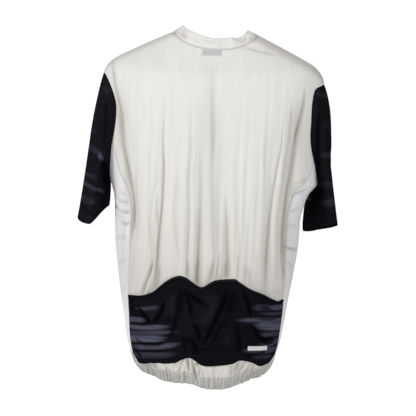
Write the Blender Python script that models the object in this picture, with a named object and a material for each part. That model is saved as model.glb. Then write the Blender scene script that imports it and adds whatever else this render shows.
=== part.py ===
"""A short-sleeved cycling jersey, hollow and hanging as it does when worn.

Metres, +Z up. The wearer faces -Y and the wearer's left is +X. The origin lies midway between
the two points where the shoulders meet the collar, which is where the wearer carries the jersey.

The body is one tube: a stack of rounded rings, read from SECTIONS. A point of the tube is named by
its angle round the ring (0 at the wearer's left, 90 degrees at the back) and its height, which is
the height of the ring's side. The cut pieces are regions of that tube, the sleeves run from the
armholes to the cuffs, and what lies on a panel is made from the panel's own points, moved out.
"""

import math

import bpy
import numpy as np

WALL = 0.0014  # cloth thickness
COLLAR_WALL = 0.0020
HEM_WALL = 0.0018
BINDING_WALL = 0.0022
SEAM_GAP = 0.0003  # clearance between neighbouring pieces
SQUARENESS = 2.3  # 2 is an ellipse; the body's rings are a little flatter than one
DROP_POWER = 1.4  # how a ring sinks from its side towards the middle of the back or front
SLOPE_STEP = 0.002  # the step of a numerical slope

# The rings, from the hem to the top of the collar. left and right are half widths, back and front are
# half depths, and the drops say how far the middle of the back and front lie under the ring's side.
SECTION_COLUMNS = ("height", "left", "right", "back", "front", "back_drop", "front_drop")
SECTIONS = (
    (-0.6690, 0.1390, 0.1400, 0.092, 0.083, 0.042, -0.012),
    (-0.6485, 0.1475, 0.1480, 0.100, 0.090, 0.040, -0.010),
    (-0.6200, 0.1565, 0.1575, 0.108, 0.098, 0.026, -0.006),
    (-0.5800, 0.1630, 0.1640, 0.112, 0.103, 0.012, -0.002),
    (-0.5400, 0.1715, 0.1695, 0.113, 0.106, 0.004, 0.000),
    (-0.4800, 0.1810, 0.1790, 0.113, 0.109, 0.000, 0.000),
    (-0.4200, 0.1890, 0.1865, 0.113, 0.111, 0.000, 0.000),
    (-0.3750, 0.1910, 0.1880, 0.114, 0.113, 0.000, 0.000),
    (-0.3450, 0.1930, 0.1940, 0.115, 0.115, 0.000, 0.000),
    (-0.3200, 0.1990, 0.2030, 0.116, 0.116, 0.000, 0.000),
    (-0.2970, 0.2060, 0.2190, 0.117, 0.117, 0.000, 0.000),
    (-0.2700, 0.2120, 0.2190, 0.118, 0.117, 0.000, 0.001),
    (-0.2300, 0.2190, 0.2170, 0.118, 0.116, 0.000, 0.003),
    (-0.1600, 0.2260, 0.2240, 0.115, 0.110, 0.002, 0.011),
    (-0.1100, 0.2280, 0.2260, 0.108, 0.100, 0.009, 0.026),
    (-0.0860, 0.2260, 0.2240, 0.102, 0.094, 0.014, 0.037),
    (-0.0720, 0.2200, 0.2170, 0.097, 0.090, 0.018, 0.043),
    (-0.0580, 0.2060, 0.2040, 0.091, 0.087, 0.023, 0.050),
    (-0.0400, 0.1740, 0.1720, 0.083, 0.080, 0.029, 0.058),
    (-0.0200, 0.1350, 0.1320, 0.073, 0.076, 0.035, 0.068),
    (0.0030, 0.0880, 0.0850, 0.062, 0.0735, 0.041, 0.078),
    (0.0160, 0.0680, 0.0640, 0.053, 0.0710, 0.030, 0.062),
)
HEM_BOTTOM, HEM_TOP, NECK_SEAM, COLLAR_TOP = -0.6690, -0.6485, 0.0030, 0.0160

# The tail waves a little: how far its edge rises at each x.
WAVE_COLUMNS = ("x", "rise")
TAIL_WAVES = (
    (-0.140, -0.002),
    (-0.122, -0.002),
    (-0.097, 0.003),
    (-0.077, 0.000),
    (-0.038, -0.005),
    (-0.008, -0.003),
    (0.024, 0.005),
    (0.058, 0.002),
    (0.077, 0.001),
    (0.097, 0.002),
    (0.122, -0.002),
    (0.140, 0.000),
)

# The seams of the side panels, as degrees round the ring from the side's middle, at each height.
SIDE_SEAM_COLUMNS = ("height", "left_back", "right_back", "left_front", "right_front")
SIDE_SEAMS = (
    (-0.669, 20.0, 19.0, 15.0, 15.0),
    (-0.640, 23.5, 20.5, 18.0, 18.0),
    (-0.600, 25.0, 21.5, 22.0, 22.0),
    (-0.560, 28.0, 22.5, 26.0, 26.0),
    (-0.500, 33.0, 28.5, 31.0, 31.0),
    (-0.430, 37.0, 30.5, 35.0, 35.0),
    (-0.380, 36.0, 31.0, 35.0, 35.0),
    (-0.326, 33.0, 33.0, 34.0, 34.0),
    (-0.300, 31.0, 35.0, 32.0, 32.0),
    (-0.277, 30.0, 31.5, 30.0, 30.0),
    (-0.230, 28.5, 24.0, 27.0, 27.0),
)

# An armhole runs once round: turn 0 at the shoulder, 90 degrees at the back, 180 at the armpit. Halfway
# down it lies back or front degrees from the side's middle, and it is taper more near the shoulder. Its
# back corner under the shoulder is round where round_top is 1 and square where that is less. first is
# the turn of its first point behind the top, and FRONT_FIRST of the one in front. The tips of the side panel meet it at the turns back_tip
# and front_tip, counted either way from the top.
ARMHOLE_COLUMNS = ("top", "bottom", "back", "front", "taper", "round_top", "first", "back_tip", "front_tip")
ARMHOLES = {
    "left": (-0.086, -0.312, 29.3, 33.0, 10.0, 0.90, 24.0, 106.0, 112.0),
    "right": (-0.091, -0.297, 27.8, 33.0, 8.0, 0.34, 34.0, 121.0, 112.0),
}
FRONT_FIRST = 24.0

# A cuff is a flattened ring, half_out and half_in wide on its outer and inner side. twist turns its
# long axis about Z, tilt lowers its back, and its inner side sags.
# Its sleeve leaves the shoulder with the slope leave, and arrives with the slope arrive.
CUFF_COLUMNS = ("x", "y", "z", "half_long", "half_out", "half_in", "twist", "tilt", "sag", "leave", "arrive")
CUFFS = {
    "left": (0.226, -0.020, -0.379, 0.062, 0.041, 0.010, 13.0, 18.4, -0.010, 0.27, 0.18),
    "right": (0.231, -0.016, -0.386, 0.061, 0.018, 0.018, 27.0, -8.5, 0.009, 0.41, 0.17),
}
CUFF_BAND = 0.12  # the share of a sleeve that its cuff takes
SLEEVE_PULL = 0.9  # how strongly a sleeve keeps the direction of its ends

# A fold runs from its top to its bottom end, with a bow to one side, and sinks over its width, or rises
# where depth is positive.
FOLD_COLUMNS = ("top_x", "top_z", "bottom_x", "bottom_z", "bow", "width", "depth")
BACK_FOLDS = (
    (0.199, -0.100, 0.146, -0.440, -0.001, 0.015, -0.0095),
    (0.104, -0.150, 0.106, -0.560, 0.000, 0.014, -0.0045),
    (0.052, -0.200, 0.048, -0.540, 0.000, 0.012, 0.0030),
    (0.016, -0.340, 0.014, -0.570, 0.000, 0.014, -0.0050),
    (-0.038, -0.360, -0.034, -0.560, 0.000, 0.014, -0.0045),
    (-0.122, -0.150, -0.120, -0.520, 0.000, 0.014, -0.0035),
    (-0.180, -0.105, -0.152, -0.500, 0.000, 0.015, -0.0090),
)
FRONT_FOLDS = (
    (0.184, -0.150, 0.150, -0.500, 0.004, 0.016, -0.0070),
    (0.112, -0.180, 0.112, -0.640, 0.004, 0.018, -0.0050),
    (0.055, -0.220, 0.066, -0.640, -0.004, 0.018, 0.0030),
    (-0.050, -0.240, -0.060, -0.640, 0.003, 0.018, 0.0030),
    (-0.106, -0.170, -0.110, -0.640, -0.004, 0.018, -0.0050),
    (-0.180, -0.150, -0.148, -0.500, -0.004, 0.016, -0.0070),
)

# The mouth and the bottom edge of the pockets, across the back.
EDGE_COLUMNS = ("x", "z")
POCKET_MOUTH = (
    (-0.157, -0.532),
    (-0.144, -0.535),
    (-0.131, -0.531),
    (-0.106, -0.519),
    (-0.086, -0.511),
    (-0.067, -0.499),
    (-0.057, -0.493),
    (-0.029, -0.495),
    (-0.017, -0.497),
    (-0.005, -0.504),
    (0.008, -0.511),
    (0.027, -0.501),
    (0.038, -0.494),
    (0.050, -0.491),
    (0.062, -0.494),
    (0.077, -0.504),
    (0.101, -0.526),
    (0.126, -0.534),
    (0.151, -0.536),
)
POCKET_BOTTOM = (
    (-0.142, -0.648),
    (-0.130, -0.662),
    (-0.117, -0.666),
    (-0.095, -0.657),
    (-0.077, -0.654),
    (-0.058, -0.661),
    (-0.010, -0.667),
    (0.005, -0.664),
    (0.024, -0.652),
    (0.038, -0.656),
    (0.058, -0.665),
    (0.087, -0.667),
    (0.122, -0.671),
    (0.137, -0.656),
)
POCKET_STOPS = (-0.160, -0.058, 0.050, 0.156)  # x of the side seams and of the two stitched dividers
POCKET_GAPE = 0.014  # how far the cloth stands off in the middle of a pocket's mouth
POCKET_SLACK = 1.2  # how the gape grows from the bottom to the mouth
BINDING_SHARE = 0.04  # the part of a pocket's height that its elastic binding takes

GATHER_STEPS = 4  # columns of the hem band to each gather
GATHER_DEPTH = 0.0012

ZIP_HALF_WIDTH = 0.006  # the closed zip: two tapes, and the chain between them
CHAIN_HALF_WIDTH = 0.0024
CHAIN_RISE = 0.0011
ZIP_WALL = 0.0012
ZIP_COLUMNS = ("x", "rise")
ZIP_PROFILE = (
    (-ZIP_HALF_WIDTH, 0.0),
    (-CHAIN_HALF_WIDTH - 0.0003, 0.0),
    (-CHAIN_HALF_WIDTH, CHAIN_RISE),
    (CHAIN_HALF_WIDTH, CHAIN_RISE),
    (CHAIN_HALF_WIDTH + 0.0003, 0.0),
    (ZIP_HALF_WIDTH, 0.0),
)

# The slider stands at the top of the zip. Two cheeks on its front hold a pin along X, and the pull
# hangs from the pin by its eye.
SLIDER_BELOW_TOP = 0.008
SLIDER_WIDTH, SLIDER_DEPTH, SLIDER_HEIGHT = 0.0076, 0.0026, 0.0100
PIN_RADIUS = 0.0007
PIN_STAND_OFF = 0.0024
CHEEK_INSIDE, CHEEK_OUTSIDE, CHEEK_HEIGHT = 0.0016, 0.0026, 0.0024
EYE_BORE, EYE_RADIUS, EYE_WIDTH = 0.0010, 0.0018, 0.0026
PULL_WIDTH, PULL_THICKNESS, PULL_LENGTH = 0.0052, 0.0014, 0.0210
PULL_NECK = 0.0040  # the eye's narrow part reaches that far under the pin

LABEL_PLACE, LABEL_SIZE, LABEL_WALL = (0.007, -0.0470), (0.041, 0.015), 0.0010
TAB_PLACE, TAB_SIZE, TAB_WALL = (0.1445, -0.5540), (0.008, 0.024), 0.0010

BODY_ROWS, ARMHOLE_ROWS, SHOULDER_ROWS, COLLAR_ROWS, HEM_ROWS = 14, 7, 6, 2, 1
BACK_COLUMNS, FRONT_COLUMNS, SIDE_COLUMNS = 34, 12, 8
SLEEVE_ROWS, CUFF_ROWS = 10, 2
POCKET_ROWS = 8
BACK_REST, BACK_REACH = (math.radians(28), math.radians(152)), 0.25
FRONT_REST, FRONT_REACH = (math.radians(-87), math.radians(-32)), 0.6
BAND_STEPS = 3  # columns of the hem band to each column of a panel

WHITE = (0.80, 0.79, 0.76)
SIDE_GREY = (0.72, 0.71, 0.73)
NAVY_BLACK = (0.012, 0.011, 0.017)
BAND_GREY = (0.58, 0.57, 0.54)
ZIP_GREY = (0.70, 0.70, 0.70)
METAL_GREY = (0.35, 0.35, 0.36)


def table(names, rows):
    """A table's rows as one array for each named column."""
    return {name: np.array([row[i] for row in rows], float) for i, name in enumerate(names)}


SECTION = table(SECTION_COLUMNS, SECTIONS)
SIDE_SEAM = table(SIDE_SEAM_COLUMNS, SIDE_SEAMS)
WAVE = table(WAVE_COLUMNS, TAIL_WAVES)
MOUTH = table(EDGE_COLUMNS, POCKET_MOUTH)
BOTTOM = table(EDGE_COLUMNS, POCKET_BOTTOM)
ZIP = table(ZIP_COLUMNS, ZIP_PROFILE)
ARMHOLE = {side: dict(zip(ARMHOLE_COLUMNS, row)) for side, row in ARMHOLES.items()}
CUFF = {side: dict(zip(CUFF_COLUMNS, row)) for side, row in CUFFS.items()}


def smooth_between(knots, values, at):
    """Reads a column between its rows, on a curve that never overshoots them."""
    at = np.asarray(at, float)
    steps = np.diff(knots)
    slopes = np.diff(values) / steps
    product = slopes[1:] * slopes[:-1]
    total = slopes[1:] + slopes[:-1]
    bent = np.where(product > 0, 2 * product / np.where(total == 0, 1, total), 0)
    tangents = np.concatenate((slopes[:1], bent, slopes[-1:]))
    i = np.clip(np.searchsorted(knots, at) - 1, 0, len(steps) - 1)
    t = np.clip((at - knots[i]) / steps[i], 0, 1)
    rise = values[i + 1] - values[i]
    start, end = tangents[i] * steps[i], tangents[i + 1] * steps[i]
    return values[i] + t * (start + t * (3 * rise - 2 * start - end + t * (start + end - 2 * rise)))


def section(name, height):
    return smooth_between(SECTION["height"], SECTION[name], height)


def seam_angle(name, height):
    return np.radians(smooth_between(SIDE_SEAM["height"], SIDE_SEAM[name], height))


def fade(low, high, value):
    """0 below low and 1 above high, with a smooth change between."""
    t = np.clip((value - low) / (high - low), 0, 1)
    return t * t * (3 - 2 * t)


def unit(vectors):
    return vectors / np.linalg.norm(vectors, axis=-1, keepdims=True)


def fold_relief(folds, x, z):
    """How far the folds of a table move the cloth out at (x, z)."""
    relief = np.zeros(np.broadcast(x, z).shape)
    for top_x, top_z, bottom_x, bottom_z, bow, width, depth in folds:
        along = (top_z - z) / (top_z - bottom_z)
        path = top_x + (bottom_x - top_x) * along + 4 * bow * along * (1 - along)
        shown = fade(0, 0.3, along) * fade(0, 0.2, 1 - along)
        relief = relief + depth * shown * np.exp(-(((x - path) / width) ** 2))
    return relief


def ring_point(angle, height):
    """A point of the smooth tube, before its folds."""
    angle, height = np.broadcast_arrays(angle, height)
    c, s = np.cos(angle), np.sin(angle)
    width = np.where(c > 0, section("left", height), section("right", height))
    depth = np.where(s > 0, section("back", height), section("front", height))
    drop = np.where(s > 0, section("back_drop", height), section("front_drop", height))
    x = width * np.sign(c) * np.abs(c) ** (2 / SQUARENESS)
    y = depth * np.sign(s) * np.abs(s) ** (2 / SQUARENESS)
    wave = smooth_between(WAVE["x"], WAVE["rise"], x) * fade(0, 0.4, s) * fade(0.60, 0.64, -height)
    z = height - drop * np.abs(s) ** DROP_POWER + wave
    return np.stack((x, y, z), axis=-1)


def normal_of(surface, first, second):
    """The outward normal of a surface function at its two parameters."""
    along_first = surface(first + SLOPE_STEP, second) - surface(first - SLOPE_STEP, second)
    along_second = surface(first, second + SLOPE_STEP) - surface(first, second - SLOPE_STEP)
    return unit(np.cross(along_first, along_second))


def body_relief(angle, point):
    """The folds of the back and of the front, each on its own side of the tube."""
    x, z = point[..., 0], point[..., 2]
    s = np.sin(angle)
    back = fold_relief(BACK_FOLDS, x, z) * fade(0.05, 0.35, s)
    front = fold_relief(FRONT_FOLDS, x, z) * fade(0.05, 0.35, -s)
    return back + front


def body_point(angle, height):
    """A point of the body's outer side, folds and all."""
    angle, height = np.broadcast_arrays(angle, height)
    smooth = ring_point(angle, height)
    relief = body_relief(angle, smooth)
    return smooth + normal_of(ring_point, angle, height) * relief[..., None]


def body_normal(angle, height):
    return normal_of(body_point, np.asarray(angle, float), np.asarray(height, float))


def on_side(side, angle):
    """The ring angle on the wearer's left or right, of an angle measured from that side's middle."""
    return angle if side == "left" else math.pi - angle


def angle_of_x(x, height, face):
    """The ring angle where the back or front of the tube is x to the left of its middle plane."""
    x = np.asarray(x, float)
    width = np.where(x > 0, section("left", height), section("right", height))
    c = np.sign(x) * np.abs(x / width) ** (SQUARENESS / 2)
    angle = np.arccos(np.clip(c, -1, 1))
    return angle if face == "back" else -angle


def back_place(x, z):
    """Ring angle and height of a place on the back."""
    height = np.array(z, float)
    for _ in range(30):
        angle = angle_of_x(x, height, "back")
        height = height + (z - ring_point(angle, height)[..., 2]) * 0.7
    return angle, height


def armhole(side, turn):
    """Angle from the side's middle, and height, of a point of an armhole."""
    hole = ARMHOLE[side]
    c, s = np.cos(turn), np.sin(turn)
    widest = np.where(s >= 0, hole["back"], hole["front"])
    bend = np.where(s >= 0, 1 - (1 - hole["round_top"]) * fade(0, 0.3, c), 1)
    angle = np.radians(widest + hole["taper"] * c) * np.sign(s) * np.abs(s) ** bend
    height = (hole["top"] + hole["bottom"]) / 2 + (hole["top"] - hole["bottom"]) / 2 * c
    return angle, height


def upper_turns(side, face):
    """Turns from the top of an armhole down to the side panel's tip. Those at the front are negative."""
    hole = ARMHOLE[side]
    first = hole["first"] if face == "back" else FRONT_FIRST
    turns = np.radians(np.concatenate(((0,), np.linspace(first, hole[face + "_tip"], ARMHOLE_ROWS))))
    return turns if face == "back" else -turns


def lower_turns(side):
    """Turns along the foot of an armhole, from the front tip of the side panel to its back tip."""
    hole = ARMHOLE[side]
    return np.radians(np.linspace(360 - hole["front_tip"], hole["back_tip"], SIDE_COLUMNS + 1))


def panel_rows(side, face):
    """Angle from the side's middle, and height, of each row's end of a back or front panel.

    The rows run from the hem to the armhole along the side seam, up the armhole to the shoulder,
    and along the shoulder to the neck."""
    hole_angle, hole = armhole(side, upper_turns(side, face)[::-1])
    hole_angle = np.abs(hole_angle)
    body = np.linspace(HEM_TOP, hole[0], BODY_ROWS + 1)[:-1]
    joined = fade(hole[0] - 0.07, hole[0], body)
    seam = seam_angle(f"{side}_{face}", body) * (1 - joined) + hole_angle[0] * joined
    shoulder = np.linspace(hole[-1], NECK_SEAM, SHOULDER_ROWS + 1)[1:]
    angles = np.concatenate((seam, hole_angle, np.zeros(SHOULDER_ROWS)))
    return angles, np.concatenate((body, hole, shoulder))


def held_columns(first, last, rest, count, reach):
    """Ring angles of a row's columns. They stand at angles spread over rest, and only those within reach
    of an end, as a share of the row, move with it."""
    share = np.linspace(0, 1, count + 1)
    near_first, near_last = np.clip(1 - share / reach, 0, 1), np.clip(1 - (1 - share) / reach, 0, 1)
    spread = rest[0] + (rest[1] - rest[0]) * share
    return spread + (first - rest[0]) * near_first + (last - rest[1]) * near_last


def back_columns(left, right):
    return held_columns(left, right, BACK_REST, BACK_COLUMNS, BACK_REACH)


def front_columns(side, inner, outer):
    if side == "left":
        return held_columns(inner, outer, FRONT_REST, FRONT_COLUMNS, FRONT_REACH)
    mirrored = (-math.pi - FRONT_REST[1], -math.pi - FRONT_REST[0])
    return held_columns(outer, inner, mirrored, FRONT_COLUMNS, FRONT_REACH)


def zip_edge(side, height):
    """The ring angle where the zip meets the cloth."""
    x = (ZIP_HALF_WIDTH + SEAM_GAP / 2) * (1 if side == "left" else -1)
    return angle_of_x(x, height, "front")


def back_grid():
    left, left_height = panel_rows("left", "back")
    right, right_height = panel_rows("right", "back")
    angle = back_columns(left[:, None], math.pi - right[:, None])
    share = np.linspace(0, 1, BACK_COLUMNS + 1)
    return angle, left_height[:, None] + (right_height - left_height)[:, None] * share


def front_grid(side):
    angles, heights = panel_rows(side, "front")
    inner = zip_edge(side, heights)
    outer = -angles if side == "left" else angles - math.pi
    angle = front_columns(side, inner[:, None], outer[:, None])
    return angle, np.broadcast_to(heights[:, None], angle.shape)


def side_grid(side):
    """The side panel hangs from the foot of the armhole, between its two tips."""
    top_angle, top_height = armhole(side, lower_turns(side))
    front, _ = panel_rows(side, "front")
    back, _ = panel_rows(side, "back")
    front, back = -front[: BODY_ROWS + 1], back[: BODY_ROWS + 1]
    up = np.linspace(0, 1, BODY_ROWS + 1)[:, None]
    at_top = (top_angle - front[-1]) / (back[-1] - front[-1])
    even = np.linspace(0, 1, SIDE_COLUMNS + 1)
    share = even + (at_top - even) * up**2
    angle = front[:, None] + (back - front)[:, None] * share
    height = HEM_TOP + (top_height - HEM_TOP) * up
    if side == "right":
        return math.pi - angle[:, ::-1], height[:, ::-1]
    return angle, height


def round_the_body(height, seams):
    """Ring angles at one height, from the zip's left edge round the back to its right edge, at the
    columns of the panels that meet there."""
    left_front, left_back, right_front, right_back = (
        seam_angle(f"{side}_{face}", height) if seams else 0.0 for side in ("left", "right") for face in ("front", "back")
    )
    panels = [front_columns("left", zip_edge("left", height), -left_front)]
    if seams:
        panels.append(np.linspace(-left_front, left_back, SIDE_COLUMNS + 1))
    panels.append(back_columns(left_back, math.pi - right_back))
    if seams:
        panels.append(math.pi + np.linspace(-right_back, right_front, SIDE_COLUMNS + 1))
    panels.append(front_columns("right", zip_edge("right", height), right_front - math.pi) + 2 * math.pi)
    return np.concatenate([panels[0][:1]] + [panel[1:] for panel in panels])


def border_of(rows, columns):
    """Grid places round a panel's edge, in order and counter-clockwise from outside."""
    bottom = [(0, j) for j in range(columns)]
    last = [(i, columns - 1) for i in range(1, rows)]
    top = [(rows - 1, j) for j in range(columns - 2, -1, -1)]
    first = [(i, 0) for i in range(rows - 2, 0, -1)]
    return bottom + last + top + first


def draw_in_border(points, normals, gap):
    """Moves a panel's edge in along the cloth, so that it stays clear of its neighbour."""
    rows, columns = np.array(border_of(*points.shape[:2])).T
    edge, normal = points[rows, columns], normals[rows, columns]
    after = unit(np.cross(normal, np.roll(edge, -1, axis=0) - edge))
    before = unit(np.cross(normal, edge - np.roll(edge, 1, axis=0)))
    spread = 1 + (before * after).sum(-1, keepdims=True)
    moved = points.copy()
    moved[rows, columns] = edge + (before + after) / np.maximum(spread, 0.15) * gap
    return moved


def material_of(name, colour, roughness, metallic):
    material = bpy.data.materials.new(name)
    material.use_nodes = True
    shader = material.node_tree.nodes["Principled BSDF"]
    shader.inputs["Base Color"].default_value = (*colour, 1)
    shader.inputs["Roughness"].default_value = roughness
    shader.inputs["Metallic"].default_value = metallic
    return material


def new_object(name, vertices, faces, colour, roughness=0.8, metallic=0.0):
    mesh = bpy.data.meshes.new(name)
    mesh.from_pydata([tuple(v) for v in vertices], [], faces)
    mesh.shade_smooth()
    mesh.set_sharp_from_angle(angle=math.radians(50))
    mesh.materials.append(material_of(name, colour, roughness, metallic))
    made = bpy.data.objects.new(name, mesh)
    bpy.context.scene.collection.objects.link(made)
    return made


def wall(name, outer, inner, colour, closed=False, centres=None):
    """A closed wall of cloth between two grids of points. closed joins the first and last column.
    Where the middles of the cells are given, a cell is split along the diagonal that passes nearer."""
    rows, columns = outer.shape[:2]
    count = rows * columns
    faces = []
    for i in range(rows - 1):
        for j in range(columns if closed else columns - 1):
            k = (j + 1) % columns
            a, b, c, d = i * columns + j, i * columns + k, (i + 1) * columns + k, (i + 1) * columns + j
            cells = [(a, b, c, d)]
            if centres is not None:
                first = np.linalg.norm((outer[i, j] + outer[i + 1, k]) / 2 - centres[i, j])
                second = np.linalg.norm((outer[i, k] + outer[i + 1, j]) / 2 - centres[i, j])
                cells = [(a, b, c), (a, c, d)] if first < second else [(a, b, d), (b, c, d)]
            faces += cells
            faces += [tuple(count + v for v in reversed(cell)) for cell in cells]
    if closed:
        top = (rows - 1) * columns
        loops = [list(range(columns)), list(range(top + columns - 1, top - 1, -1))]
    else:
        loops = [[i * columns + j for i, j in border_of(rows, columns)]]
    for loop in loops:
        for a, b in zip(loop, loop[1:] + loop[:1]):
            faces.append((b, a, count + a, count + b))
    return new_object(name, np.concatenate((outer.reshape(-1, 3), inner.reshape(-1, 3))), faces, colour)


def split_columns(grid, steps):
    """A grid with each step between two columns split evenly."""
    share = np.arange(grid.shape[1] * steps - steps + 1) / steps
    low = np.minimum(share.astype(int), grid.shape[1] - 2)
    part = (share - low)[:, None]
    return grid[:, low] * (1 - part) + grid[:, low + 1] * part


def cell_middles(grid):
    return (grid[:-1, :-1] + grid[:-1, 1:] + grid[1:, :-1] + grid[1:, 1:]) / 4


def body_panel(name, grid, colour, thickness=WALL, relief=None):
    """A region of the tube. relief moves it out, at columns finer than the grid's."""
    angle, height = grid
    points, normals = body_point(angle, height), body_normal(angle, height)
    centres = body_point(cell_middles(angle), cell_middles(height)) if relief is None else None
    if relief is not None:
        steps = (relief.shape[1] - 1) // (angle.shape[1] - 1)
        points, normals = split_columns(points, steps), unit(split_columns(normals, steps))
        points = points + normals * relief[..., None]
    outer = draw_in_border(points, normals, SEAM_GAP / 2)
    return wall(name, outer, outer - normals * thickness, colour, centres=centres)


def make_collar():
    height = np.linspace(NECK_SEAM, COLLAR_TOP, COLLAR_ROWS + 1)
    angle = np.array([round_the_body(h, seams=False) for h in height])
    body_panel("collar", (angle, np.broadcast_to(height[:, None], angle.shape)), WHITE, COLLAR_WALL)


def make_hem_band():
    """The elastic band under the panels, gathered towards its lower edge."""
    height = np.linspace(HEM_BOTTOM, HEM_TOP, HEM_ROWS + 1)
    angle = np.array([round_the_body(h, seams=True) for h in height])
    columns = np.arange((angle.shape[1] - 1) * BAND_STEPS + 1)
    below_seam = ((HEM_TOP - height) / (HEM_TOP - HEM_BOTTOM))[:, None]
    gathers = GATHER_DEPTH * np.sin(2 * math.pi * columns / GATHER_STEPS) * below_seam
    grid = angle, np.broadcast_to(height[:, None], angle.shape)
    body_panel("hem_band", grid, BAND_GREY, HEM_WALL, gathers)


def make_zip_tape():
    """The closed zip, one strip from the hem to the top of the collar."""
    ends = []
    for side in ("right", "left"):
        _, rows = panel_rows(side, "front")
        hem = np.linspace(HEM_BOTTOM, HEM_TOP, HEM_ROWS + 1)[:-1]
        collar = np.linspace(NECK_SEAM, COLLAR_TOP, COLLAR_ROWS + 1)[1:]
        ends.append(np.concatenate((hem, rows, collar)))
    right, left = (end[:, None] for end in ends)
    share = (ZIP["x"] + ZIP_HALF_WIDTH) / (2 * ZIP_HALF_WIDTH)
    height = right + (left - right) * share
    angle = angle_of_x(np.broadcast_to(ZIP["x"], height.shape), height, "front")
    angle = np.where(angle > 0, angle - 2 * math.pi, angle)
    normals = body_normal(angle, height)
    outer = body_point(angle, height)
    inner = outer - normals * ZIP_WALL
    wall("zip_tape", outer + normals * ZIP["rise"][:, None], inner, ZIP_GREY)


def pocket_grid(ups):
    """Ring angle and height of the pockets' rows, at the columns of the back. up is 0 at the bottom
    edge and 1 at the mouth."""
    up = np.asarray(ups, float)[:, None]
    height = np.full((len(ups), BACK_COLUMNS + 1), -0.6)
    for _ in range(60):
        angle = back_columns(seam_angle("left_back", height), math.pi - seam_angle("right_back", height))
        place = ring_point(angle, height)
        low = smooth_between(BOTTOM["x"], BOTTOM["z"], place[..., 0])
        high = smooth_between(MOUTH["x"], MOUTH["z"], place[..., 0])
        height = height + (low + (high - low) * up - place[..., 2]) * 0.6
    return angle, height, up


def pocket_gape(x, up):
    """How far the pockets' cloth stands off the back."""
    bulge = np.zeros(np.broadcast(x, up).shape)
    for low, high in zip(POCKET_STOPS, POCKET_STOPS[1:]):
        bulge = bulge + np.sin(math.pi * np.clip((x - low) / (high - low), 0, 1)) ** 2
    return POCKET_GAPE * bulge * np.clip(up, 0, 1) ** POCKET_SLACK


def pocket_surface(angle, height, up, offset):
    normals = body_normal(angle, height)
    points = body_point(angle, height)
    stand_off = pocket_gape(points[..., 0], up) + offset
    return points + normals * stand_off[..., None], normals


def make_pocket_strip(name, ups, thickness):
    angle, height, up = pocket_grid(ups)
    points, normals = pocket_surface(angle, height, up, SEAM_GAP + thickness)
    outer = draw_in_border(points, normals, SEAM_GAP / 2)
    wall(name, outer, outer - normals * thickness, NAVY_BLACK)


def patch_grid(place, size, columns, rows):
    """Ring angle and height of a small upright rectangle on the back."""
    x = np.linspace(place[0] + size[0] / 2, place[0] - size[0] / 2, columns + 1)
    z = np.linspace(place[1] - size[1] / 2, place[1] + size[1] / 2, rows + 1)
    x, z = np.meshgrid(x, z)
    return back_place(x, z)


def make_labels():
    """The neck label inside the back, and the tab in the seam at the edge of the left pocket."""
    angle, height = patch_grid(LABEL_PLACE, LABEL_SIZE, 6, 2)
    normals = body_normal(angle, height)
    outer = body_point(angle, height) - normals * (WALL + SEAM_GAP)
    wall("neck_label", outer, outer - normals * LABEL_WALL, BAND_GREY)
    angle, height = patch_grid(TAB_PLACE, TAB_SIZE, 2, 3)
    on_pocket = SEAM_GAP + WALL
    x, z = ring_point(angle, height)[..., 0], ring_point(angle, height)[..., 2]
    low, high = (smooth_between(edge["x"], edge["z"], x) for edge in (BOTTOM, MOUTH))
    points, normals = pocket_surface(angle, height, (z - low) / (high - low), on_pocket + SEAM_GAP + TAB_WALL)
    wall("side_label", points, points - normals * TAB_WALL, NAVY_BLACK)


def cuff_ring(side, turn):
    """The lower edge of a sleeve, at the same turns as its armhole."""
    cuff = CUFF[side]
    twist = math.radians(cuff["twist"])
    long_way = cuff["half_long"] * np.sin(turn)
    short_way = np.where(np.cos(turn) > 0, cuff["half_out"], cuff["half_in"]) * np.cos(turn)
    out = long_way * math.sin(twist) + short_way * math.cos(twist)
    back = long_way * math.cos(twist) - short_way * math.sin(twist)
    x = cuff["x"] + out
    z = cuff["z"] - back * math.tan(math.radians(cuff["tilt"])) - cuff["sag"] * np.clip(-np.cos(turn), 0, 1) ** 2
    return np.stack((x if side == "left" else -x, cuff["y"] + back, z), axis=-1)


def sleeve_point(side, turn, share):
    """A point of a sleeve, from its armhole (share 0) to its cuff (share 1)."""
    turn, share = np.broadcast_arrays(turn, share)
    mirror = np.array((1.0 if side == "left" else -1.0, 1.0, 1.0))
    angle, height = armhole(side, turn)
    start, end = body_point(on_side(side, angle), height), cuff_ring(side, turn)
    length = np.linalg.norm(end - start, axis=-1)[..., None] * SLEEVE_PULL
    out, back = CUFF[side]["leave"] + 0.42 * np.sin(turn / 2) ** 2, 0.30 * np.sin(turn)
    leaving = np.stack((out, back, -np.sqrt(1 - out**2 - back**2)), axis=-1) * mirror * length
    lean = math.tan(math.radians(CUFF[side]["tilt"]))
    arriving = unit(np.array((CUFF[side]["arrive"], -0.8 * lean, -1.0)) * mirror) * length
    t = share[..., None]
    far = t * t * (3 - 2 * t)
    return start * (1 - far) + end * far + leaving * t * (1 - t) ** 2 + arriving * t * t * (t - 1)


def sleeve_normal(side, turn, share):
    """The sleeve's outward normal. A turn runs the other way round on the right."""

    def surface(first, second):
        return sleeve_point(side, first, second)

    normal = normal_of(surface, turn, share)
    return normal if side == "right" else -normal


def sleeve_turns(side):
    back, front = upper_turns(side, "back"), upper_turns(side, "front")
    return np.concatenate((back, lower_turns(side)[::-1][1:-1], 2 * math.pi + front[:0:-1]))


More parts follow.
